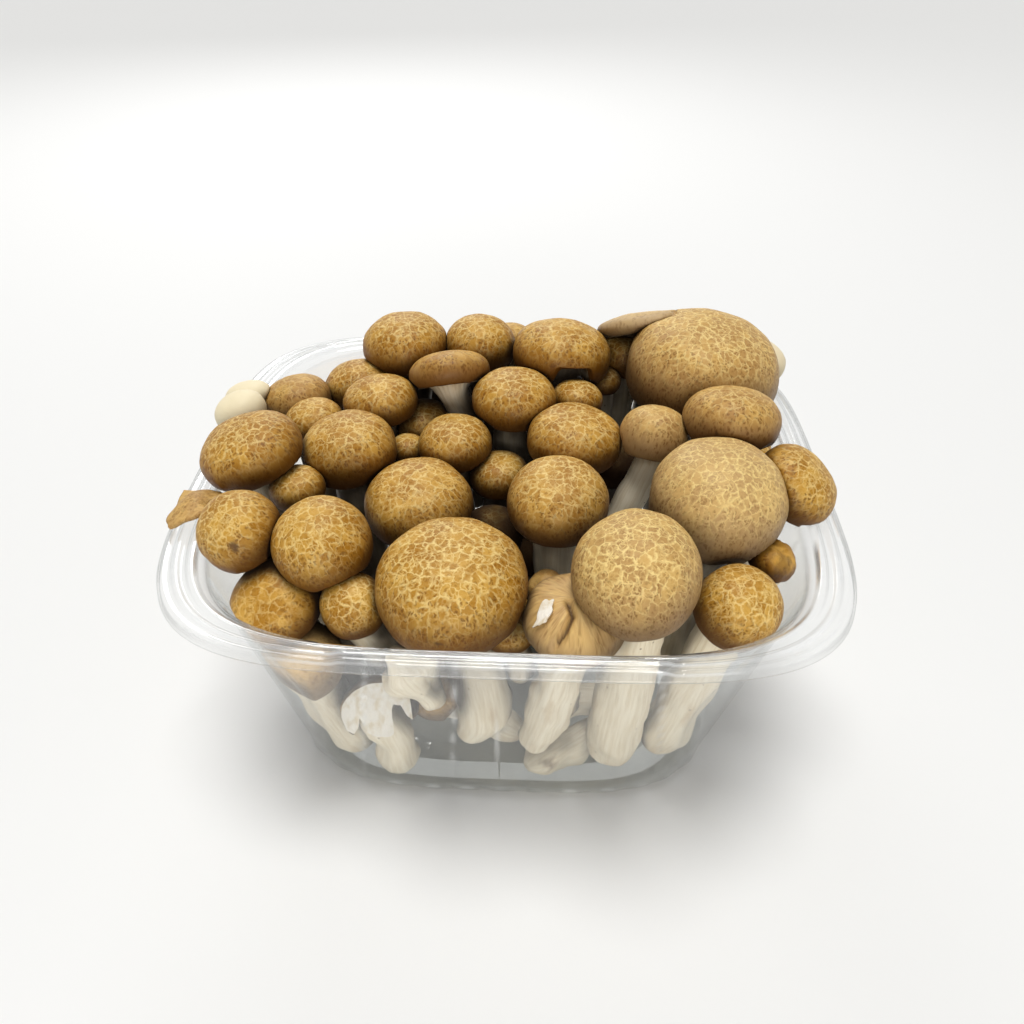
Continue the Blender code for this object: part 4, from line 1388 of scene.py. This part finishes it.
# The plastic's tints: seen flat on; the painted dark of the sheet seen edge on and at the rim,
# standing in for refraction; the painted shade at the foot; and the tints of its shadow. The fades
# go by the height in metres.
TINT_FLAT = (0.988, 0.99, 0.99, 1.0)
EDGE_ON_PAINTED_DARK = (0.80, 0.81, 0.805, 1.0)
RIM_PAINTED_DARK = (0.36, 0.37, 0.365, 1.0)
FOOT_PAINTED_SHADE = (0.86, 0.87, 0.855, 1.0)
# The haze's white, also used for the painted highlight lines.
HAZE_AND_PAINTED_SHINE = (0.93, 0.95, 0.95, 1.0)
SHADOW_WALL = (0.97, 0.972, 0.972, 1.0)
SHADOW_FOOT = (0.60, 0.60, 0.58, 1.0)
RIM_FADE = (0.0570, 0.0592)
FOOT_FADE = (0.0012, 0.0030, 1.0, 0.0)
SHADOW_FADE = (0.003, 0.013, 1.0, 0.0)


def plastic_material():
    """Return clear thermoformed plastic: see-through, with gloss and a faint haze, painted
    highlight lines on its ribs, scallops and bends, painted dark lines edge on and at the rim, and
    painted shade at the foot.
    """
    g = Graph("clear_plastic")
    g.tree.nodes.remove(g.shader)
    fold = g.attribute("fold")
    facing = g.node("ShaderNodeLayerWeight", {"Blend": 0.5}).outputs["Facing"]
    gloss = g.math("MULTIPLY_ADD", g.math("POWER", facing, 5.0), 0.70, 0.05)
    # Painted highlight lines: more gloss along the ribs, scallops and bends.
    gloss = g.math("MULTIPLY_ADD", fold, 0.75, gloss, clamp=True)
    place = g.node("ShaderNodeTexCoord").outputs["Object"]
    height = g.node("ShaderNodeSeparateXYZ", {0: place}).outputs[2]
    # Painted dark lines where the sheet is seen edge on, darker at the rim, standing in for
    # refraction.
    painted_edge_dark = g.blend(g.fade(height, *RIM_FADE), EDGE_ON_PAINTED_DARK, RIM_PAINTED_DARK)
    # Painted shade seen through the floor of the punnet.
    flat_tint_and_foot_shade = g.blend(g.fade(height, *FOOT_FADE), TINT_FLAT, FOOT_PAINTED_SHADE)
    tint = g.blend(g.math("POWER", facing, 3.6), flat_tint_and_foot_shade, painted_edge_dark)
    clear = g.node("ShaderNodeBsdfTransparent", {"Color": tint}).outputs[0]
    haze_and_shine = g.node("ShaderNodeBsdfDiffuse", {"Color": HAZE_AND_PAINTED_SHINE}).outputs[0]
    shine = g.node("ShaderNodeBsdfGlossy", {"Color": (1.0, 1.0, 1.0, 1.0), "Roughness": 0.05})
    # The faint haze, and painted white highlight lines along the ribs, scallops and bends.
    haze_and_shine_share = g.math("MULTIPLY_ADD", fold, 0.35, 0.04, clamp=True)
    whole = g.mix(gloss, g.mix(haze_and_shine_share, clear, haze_and_shine), shine.outputs[0])
    cast = g.blend(g.fade(height, *SHADOW_FADE), SHADOW_WALL, SHADOW_FOOT)
    through = g.node("ShaderNodeBsdfTransparent", {"Color": cast}).outputs[0]
    shadow = g.node("ShaderNodeLightPath").outputs["Is Shadow Ray"]
    g.put(g.output.inputs["Surface"], g.mix(shadow, whole, through))
    return g.material


# The punnet


def outline(width, depth, power, turn):
    """Return the points of a rounded rectangle at the given angles."""
    reach = (np.abs(np.cos(turn)) ** power + np.abs(np.sin(turn)) ** power) ** (-1.0 / power)
    return np.stack([width / 2 * reach * np.cos(turn), depth / 2 * reach * np.sin(turn)], axis=1)


def thicken(piece, thickness, side):
    """Give a sheet its thickness, in millimetres."""
    shell = piece.modifiers.new("thickness", "SOLIDIFY")
    shell.thickness = thickness * MM
    shell.offset = side


# The sheet and its low forms: sizes in millimetres, places from the middle.
SHEET = 0.45
PUNNET_SIDES = 420
WALL_ROWS = 34
WALL_START = 0.07
GRIP_LIFT = 0.6
FRONT_RIBS = (-25.7, -8.5, -0.1, 31.0)
SIDE_RIBS = (-22.0, 8.0, 24.0)
RIB_SPREAD = 0.26
RIB_MIDDLE = 4.8
RIB_WIDTH = 0.50
RIB_DEPTH = 0.70
PANEL_LEAF = 0.20
PANEL_DEPTH = 0.7
SCALLOPS = 44
FLUTE_DEPTH = 0.55
FLUTE_TOP = 8.0
BEAD_PUSH = 0.9
BEAD_HEIGHT = 1.6
BEAD_WIDTH = 0.8
# Height and width of the painted highlight along the foot's scallops.
CREST_HEIGHT = 2.5
CREST_WIDTH = 0.5
FOOT_INSIDE = 0.45
# Wave length of the breaks in the painted highlight lines.
SHINE_WAVE = 14.0

# Where the low forms rise and fall: shares of the height for the wall, millimetres of
# height for the flutes, and millimetres to +X for the grip.
WALL_FORMS = ((0.06, 0.14), (0.86, 0.95))
# WALL_SHINE: where the painted highlight lines rise and fall on the wall.
WALL_SHINE = ((0.05, 0.12), (0.88, 0.96))
FLUTES = ((0.2, 1.6), (2.6, FLUTE_TOP))
GRIP = ((-32.0, -30.2), (30.8, 32.6))

# Width of the painted shining line along a rib, and how strong it is.
FRONT_SHINE = (0.22, 0.24)
SIDE_SHINE = (0.30, 0.20)

# Rows of the foot: share of the base's outline, and height. The first has its own power.
FLOOR_CORE = (0.10, 2.2)
FOOT_ROWS = (
    (0.3, FLOOR_LIFT), (0.5, FLOOR_LIFT), (0.66, FLOOR_LIFT), (0.71, FLOOR_LIFT),
    (0.735, 0.5), (0.76, 0.05), (0.80, 0.0), (0.90, 0.0), (0.945, 0.25), (0.975, 1.0),
    (0.985, 1.6), (0.995, 2.3), (1.002, 2.8), (1.009, 3.3), (1.015, 3.8),
)

# Rows of the step: how much wider than the opening, and how much higher than its foot.
STEP_ROWS = ((0.7, 0.12), (1.5, 0.55), (STEP_WIDTH, STEP_DEPTH - 0.10))

# Rows of the flange: share of the way from the opening to the lip, and height there.
FLANGE_ROWS = (
    (0.06, 0.0), (0.16, 0.0), (0.20, -0.30), (0.24, -0.55), (0.34, -0.6), (0.40, -0.55),
    (0.45, -0.20), (0.50, -0.05), (0.56, -0.10), (0.61, -0.50), (0.66, -0.75), (0.78, -0.75),
    (0.83, -0.55), (0.88, -0.55), (0.93, -0.75), (0.97, -1.05),
)
LIP_DROPS = (1.5, 2.1, 2.7, LIP_DROP)
LIP_PLAY = 0.1
LIP_INSET = 0.9

# Rows of the sheet, counted from the lip's foot, that are sharp bends, and how strong the highlight
# painted along them is.
PAINTED_SHINE_ROWS = ((-22, 0.35), (-21, 0.75), (-20, 0.25), (-12, 0.30), (-8, 0.20), (-5, 0.35))


def punnet_sections():
    """Return width, depth, power and height of the sheet's under side, floor first."""
    under = RIM_HEIGHT - SHEET
    step = under - STEP_DEPTH
    lip_width = RIM_WIDTH - 2 * SHEET - LIP_PLAY
    lip_depth = RIM_DEPTH - 2 * SHEET - LIP_PLAY
    core, core_power = FLOOR_CORE
    sections = [(core * BASE_WIDTH, core * BASE_DEPTH, core_power, FLOOR_LIFT)]
    for share, height in FOOT_ROWS:
        sections.append((share * BASE_WIDTH, share * BASE_DEPTH, BASE_POWER, height))
    for share in np.linspace(WALL_START, 1.0, WALL_ROWS):
        width = BASE_WIDTH + (OPENING_WIDTH - BASE_WIDTH) * share
        depth = BASE_DEPTH + (OPENING_DEPTH - BASE_DEPTH) * share
        sections.append((width, depth, BASE_POWER, step * share))
    for wider, higher in STEP_ROWS:
        width = OPENING_WIDTH + wider
        depth = OPENING_DEPTH + wider
        sections.append((width, depth, OPENING_POWER, step + higher))
    open_width = OPENING_WIDTH + STEP_WIDTH
    open_depth = OPENING_DEPTH + STEP_WIDTH
    for share, height in FLANGE_ROWS:
        width = open_width + (lip_width - open_width) * share
        depth = open_depth + (lip_depth - open_depth) * share
        power = OPENING_POWER + (RIM_POWER - OPENING_POWER) * share
        sections.append((width, depth, power, under + height))
    for drop in LIP_DROPS:
        inset = LIP_INSET * (1 - drop / LIP_DROP)
        sections.append((lip_width - inset, lip_depth - inset, RIM_POWER, under - drop))
    return sections


def build_punnet(finish):
    """Loft the punnet's sheet and give it its thickness."""
    turn = np.linspace(0.0, 2.0 * math.pi, PUNNET_SIDES, endpoint=False)
    rows = []
    for width, depth, power, height in punnet_sections():
        flat = outline(width, depth, power, turn)
        rows.append(np.column_stack([flat, np.full(PUNNET_SIDES, height)]))
    grid = np.array(rows)
    painted_shines = painted_shine_strength(grid)
    middle = np.array([[0.0, 0.0, FLOOR_LIFT]])
    points = np.concatenate([with_wall_forms(grid).reshape(-1, 3), middle])
    index = np.arange(PUNNET_SIDES)
    after = (index + 1) % PUNNET_SIDES
    fan = np.stack([np.full(PUNNET_SIDES, len(points) - 1), after, index], axis=1)
    ring_quads = np.stack([index, after, after + PUNNET_SIDES, index + PUNNET_SIDES], axis=1)
    quads = [ring_quads + row * PUNNET_SIDES for row in range(len(rows) - 1)]
    mesh = mesh_from_faces("punnet_sheet", points, [fan, np.concatenate(quads)])
    set_attribute(mesh, "fold", np.append(painted_shines.ravel(), 0.0))
    mesh.materials.append(finish)
    piece = placed("clear_punnet", mesh)
    thicken(piece, SHEET, -1.0)
    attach(piece, "root")
    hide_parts("punnet")


def rib_place(place, share):
    """Return where a rib of the front wall runs: the ribs spread towards the foot."""
    return RIB_MIDDLE + (place - RIB_MIDDLE) * (1.0 + RIB_SPREAD * (1.0 - share))


def painted_shine_strength(grid):
    """Return how strong the painted highlight lines are at each point: along the ribs, the foot's
    scallops and the sharp bends.
    """
    x, y, z = np.moveaxis(grid, -1, 0)
    share = z / RIM_HEIGHT
    on_wall = hump(share, *WALL_SHINE)
    along_front = np.abs(y) > 0.9 * np.abs(x)
    fold = np.zeros(grid.shape[:2])
    for place in FRONT_RIBS:
        line = bell(x, rib_place(place, share), FRONT_SHINE[0])
        fold = np.maximum(fold, FRONT_SHINE[1] * line * on_wall * along_front)
    for place in SIDE_RIBS:
        line = bell(y, place, SIDE_SHINE[0])
        fold = np.maximum(fold, SIDE_SHINE[1] * line * on_wall * ~along_front)
    turn = np.arctan2(y / RIM_DEPTH, x / RIM_WIDTH)
    broken = 0.55 + 0.45 * Noise(5, SHINE_WAVE).at(grid)
    crest = CREST_HEIGHT * (np.hypot(x, y) > FOOT_INSIDE * BASE_DEPTH)
    at_base = bell(z, crest, CREST_WIDTH) * (0.5 + 0.5 * np.cos(turn * SCALLOPS)) ** 2
    fold = np.maximum(fold, 0.9 * at_base * (crest > 0) * np.clip(broken + 0.15, 0.0, 1.0))
    for row, strength in PAINTED_SHINE_ROWS:
        fold[row] = np.maximum(fold[row], strength * np.clip(broken[row], 0.0, 1.0))
    return fold


def wall_push(x, y, z, reach):
    """Return how far the ribs, the corner panels and the foot's forms stand out."""
    share = z / RIM_HEIGHT
    on_wall = hump(share, *WALL_FORMS) * (reach > 0.5 * BASE_DEPTH * 0.95)
    turn = np.arctan2(y / RIM_DEPTH, x / RIM_WIDTH)
    corner = np.abs(np.mod(turn, math.pi / 2) - math.pi / 4)
    leaf = PANEL_LEAF * np.sin(np.clip(share, 0, 1) * math.pi) ** 0.8 + 1e-6
    push = -PANEL_DEPTH * (1 - smooth_step(corner / leaf, 0.82, 1.0)) * on_wall
    for place in FRONT_RIBS:
        push = push - RIB_DEPTH * bell(x, rib_place(place, share), RIB_WIDTH) * on_wall
    on_side = np.abs(x) > np.abs(y)
    for place in SIDE_RIBS:
        push = push - RIB_DEPTH * bell(y, place, RIB_WIDTH) * on_wall * on_side
    wave = np.cos(turn * SCALLOPS)
    at_foot = smooth_step(z, *FLUTES[0]) * (z < FLUTE_TOP)
    push = push - FLUTE_DEPTH * (0.5 + 0.5 * wave * hump(z, *FLUTES)) * at_foot
    bead = bell(z, BEAD_HEIGHT, BEAD_WIDTH) * (reach > FOOT_INSIDE * BASE_DEPTH)
    return push + BEAD_PUSH * bead * (0.55 + 0.45 * wave)


def with_wall_forms(grid):
    """Press the low forms of the wall and the front grip into the sheet."""
    flat = grid.copy()
    x, y, z = np.moveaxis(grid, -1, 0)
    reach = np.hypot(x, y)
    out = np.stack([x, y], axis=-1) / np.maximum(reach, 1e-6)[..., None]
    flat[..., :2] += out * wall_push(x, y, z, reach)[..., None]
    on_lip = (y < -OPENING_DEPTH / 2 - 1.4) * (z > RIM_HEIGHT - 2.0)
    flat[..., 2] += GRIP_LIFT * hump(x, *GRIP) * on_lip
    return flat


# Stage, light and camera


# The floor's half size in metres, the pale room, and the soft sky light.
FLOOR_REACH = 8.0
FLOOR_CORNERS = ((-1, -1), (1, -1), (1, 1), (-1, 1))
FLOOR_TONES = ((0.86, 0.865, 0.86, 1.0), (0.88, 0.88, 0.875, 1.0))
ROOM_TINT = (0.98, 0.99, 1.0, 1.0)
ROOM_LIGHT = 0.18
ROOM_SEEN = 0.74
SKY_POWER = 2.16
SKY_ANGLE = 30
SKY_TINT = (1.0, 0.99, 0.97)
SKY_AIM = (0.05, -0.13, -1.0)

# How often a ray is followed on.
BOUNCES = {"transparent_max_bounces": 24, "max_bounces": 6,
           "diffuse_bounces": 3, "glossy_bounces": 3}

# Soft boxes: name, place and target in millimetres, size, power and tint.
SOFT_BOXES = (
    ("front_box", (60, -900, 170), (0, -40, 40), 420, 2.7, (1.0, 0.995, 0.98)),
    ("upper_box", (90, -620, 640), (10, -20, 50), 260, 0.7, (1.0, 0.995, 0.98)),
    ("back_box", (-150, 600, 420), (0, 0, 50), 300, 1.0, (1.0, 1.0, 1.0)),
)


def build_stage():
    """Lay a plain pale floor."""
    mesh = bpy.data.meshes.new("floor")
    corners = [(x * FLOOR_REACH, y * FLOOR_REACH, 0) for x, y in FLOOR_CORNERS]
    mesh.from_pydata(corners, [], [(0, 1, 2, 3)])
    g = Graph("pale_floor")
    tone = g.noise(g.node("ShaderNodeTexCoord").outputs["Object"], 2.0)
    mesh.materials.append(g.finish(g.blend(tone, *FLOOR_TONES), 0.8, 0.1))
    placed("floor", mesh)


def area_light(name, place, target, size, power, tint):
    """Add a square soft box aimed at a point, in millimetres."""
    light = bpy.data.lights.new(name, "AREA")
    light.shape = "SQUARE"
    light.size = size * MM
    light.energy = power
    light.color = tint
    item = placed(name, light)
    item.location = Vector(place) * MM
    aim = Vector(target) - Vector(place)
    item.rotation_euler = aim.to_track_quat("-Z", "Y").to_euler()


def build_room():
    """Surround the scene with a pale room that is brighter where it is seen or mirrored."""
    world = bpy.data.worlds.new("room")
    world.use_nodes = True
    tree = world.node_tree
    back = tree.nodes["Background"]
    back.inputs["Color"].default_value = ROOM_TINT
    path = tree.nodes.new("ShaderNodeLightPath")
    seen = tree.nodes.new("ShaderNodeMath")
    seen.operation = "MAXIMUM"
    tree.links.new(path.outputs["Is Glossy Ray"], seen.inputs[0])
    tree.links.new(path.outputs["Is Camera Ray"], seen.inputs[1])
    strength = tree.nodes.new("ShaderNodeMath")
    strength.operation = "MULTIPLY_ADD"
    strength.inputs[1].default_value = ROOM_SEEN
    strength.inputs[2].default_value = ROOM_LIGHT
    tree.links.new(seen.outputs[0], strength.inputs[0])
    tree.links.new(strength.outputs[0], back.inputs["Strength"])
    bpy.context.scene.world = world


def build_light():
    """Light the scene like a plain studio: a pale room, a soft sky light and soft boxes."""
    build_room()
    sky = bpy.data.lights.new("soft_sky", "SUN")
    sky.energy = SKY_POWER
    sky.angle = math.radians(SKY_ANGLE)
    sky.color = SKY_TINT
    item = placed("soft_sky", sky)
    item.rotation_euler = Vector(SKY_AIM).to_track_quat("-Z", "Y").to_euler()
    for box in SOFT_BOXES:
        area_light(*box)


def build_camera():
    """Stand the camera where the photograph was taken."""
    data = bpy.data.cameras.new("camera")
    data.sensor_width = SENSOR_WIDTH
    data.lens = SENSOR_WIDTH * FOCAL_SHARE
    data.clip_start = CLIP_START
    ahead = Vector(VIEW_AHEAD).normalized()
    right = Vector(VIEW_RIGHT)
    right = (right - ahead * right.dot(ahead)).normalized()
    up = right.cross(ahead)
    turn = Matrix((right, up, -ahead)).transposed().to_4x4()
    camera = placed("camera", data)
    camera.matrix_world = Matrix.Translation(Vector(CAMERA_PLACE) * MM) @ turn
    bpy.context.scene.camera = camera


def set_view():
    """Show colours as they are, and let rays pass many clear faces."""
    scene = bpy.context.scene
    scene.view_settings.view_transform = "Standard"
    for name, count in BOUNCES.items():
        setattr(scene.cycles, name, count)


# The torn scrap of cap on the left flange, and the white flake


# A patch's points, its ragged edge as depth, wave length and share at the sides and at the
# ends, and its pattern's size and shift.
PATCH_ROWS = 25
PATCH_COLUMNS = 31
PATCH_RAGGED = (0.05, 1.1, 0.6, 1.4)
PATCH_PATTERN = (12.0, 9.0, 91.0)
SCRAP_LOOK = (0.35, 0.35)
SCRAP_THICKNESS = 1.0
FLAKE_THICKNESS = 0.5


def patch_points(name, corners, arch):
    """Return the points of a bent patch with ragged edges, and the pattern's coordinates."""
    first, second, third, fourth = np.array(corners)
    depth, wave, side_share, end_share = PATCH_RAGGED
    ragged = Noise(len(name), wave)
    points = []
    places = []
    for across in np.linspace(0.0, 1.0, PATCH_ROWS):
        for along in np.linspace(0.0, 1.0, PATCH_COLUMNS):
            edge = depth * ragged.at(np.array([along * 2, across * 2, 0.0]))
            u = along + edge * (2 * along - 1) * side_share
            v = across + edge * (2 * across - 1) * end_share
            near = first + (second - first) * u
            far = third + (fourth - third) * u
            point = near + (far - near) * v
            point[2] += arch * along * (1 - along) * across * (1 - across) * 4
            points.append(point)
            places.append((along * PATCH_PATTERN[0], across * PATCH_PATTERN[1], 0.0))
    return np.array(points), np.array(places) + PATCH_PATTERN[2]


def build_patch(name, corners, arch, thickness, look, finish):
    """Make a curled scrap from a bent patch between four corners."""
    points, places = patch_points(name, corners, arch)
    quads = []
    for row in range(PATCH_ROWS - 1):
        for start in range(row * PATCH_COLUMNS, (row + 1) * PATCH_COLUMNS - 1):
            below = start + PATCH_COLUMNS
            quads.append((start, below, below + 1, start + 1))
    mesh = mesh_from_faces(name, points, [np.array(quads)])
    set_attribute(mesh, "skin", places)
    for attribute, value in (("open", 1.0), ("mark", 0.0), ("share", 0.40)):
        set_attribute(mesh, attribute, np.full(len(points), value))
    set_look(mesh, look)
    mesh.materials.append(finish)
    piece = placed(name, mesh)
    thicken(piece, thickness, 0.0)
    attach(piece, "root")
    return piece


def main():
    """Dress the frame."""
    finishes = [cap_material(), gill_material(), stem_material(), flesh_material()]
    mushrooms = settled_mushrooms()
    field = openness_field(mushrooms)
    for index, item in enumerate(mushrooms):
        build_mushroom(index, item, mushrooms, finishes, field)
    scrap = build_patch("skin_torn_scrap", SCRAP_CORNERS, SCRAP_ARCH, SCRAP_THICKNESS,
                        SCRAP_LOOK, finishes[0])
    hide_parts("torn_scrap")
    build_patch("white_flake", FLAKE_CORNERS, FLAKE_ARCH, FLAKE_THICKNESS, PLAIN_LOOK,
                finishes[3])
    build_punnet(plastic_material())
    build_stage()
    build_light()
    build_camera()
    set_view()


main()
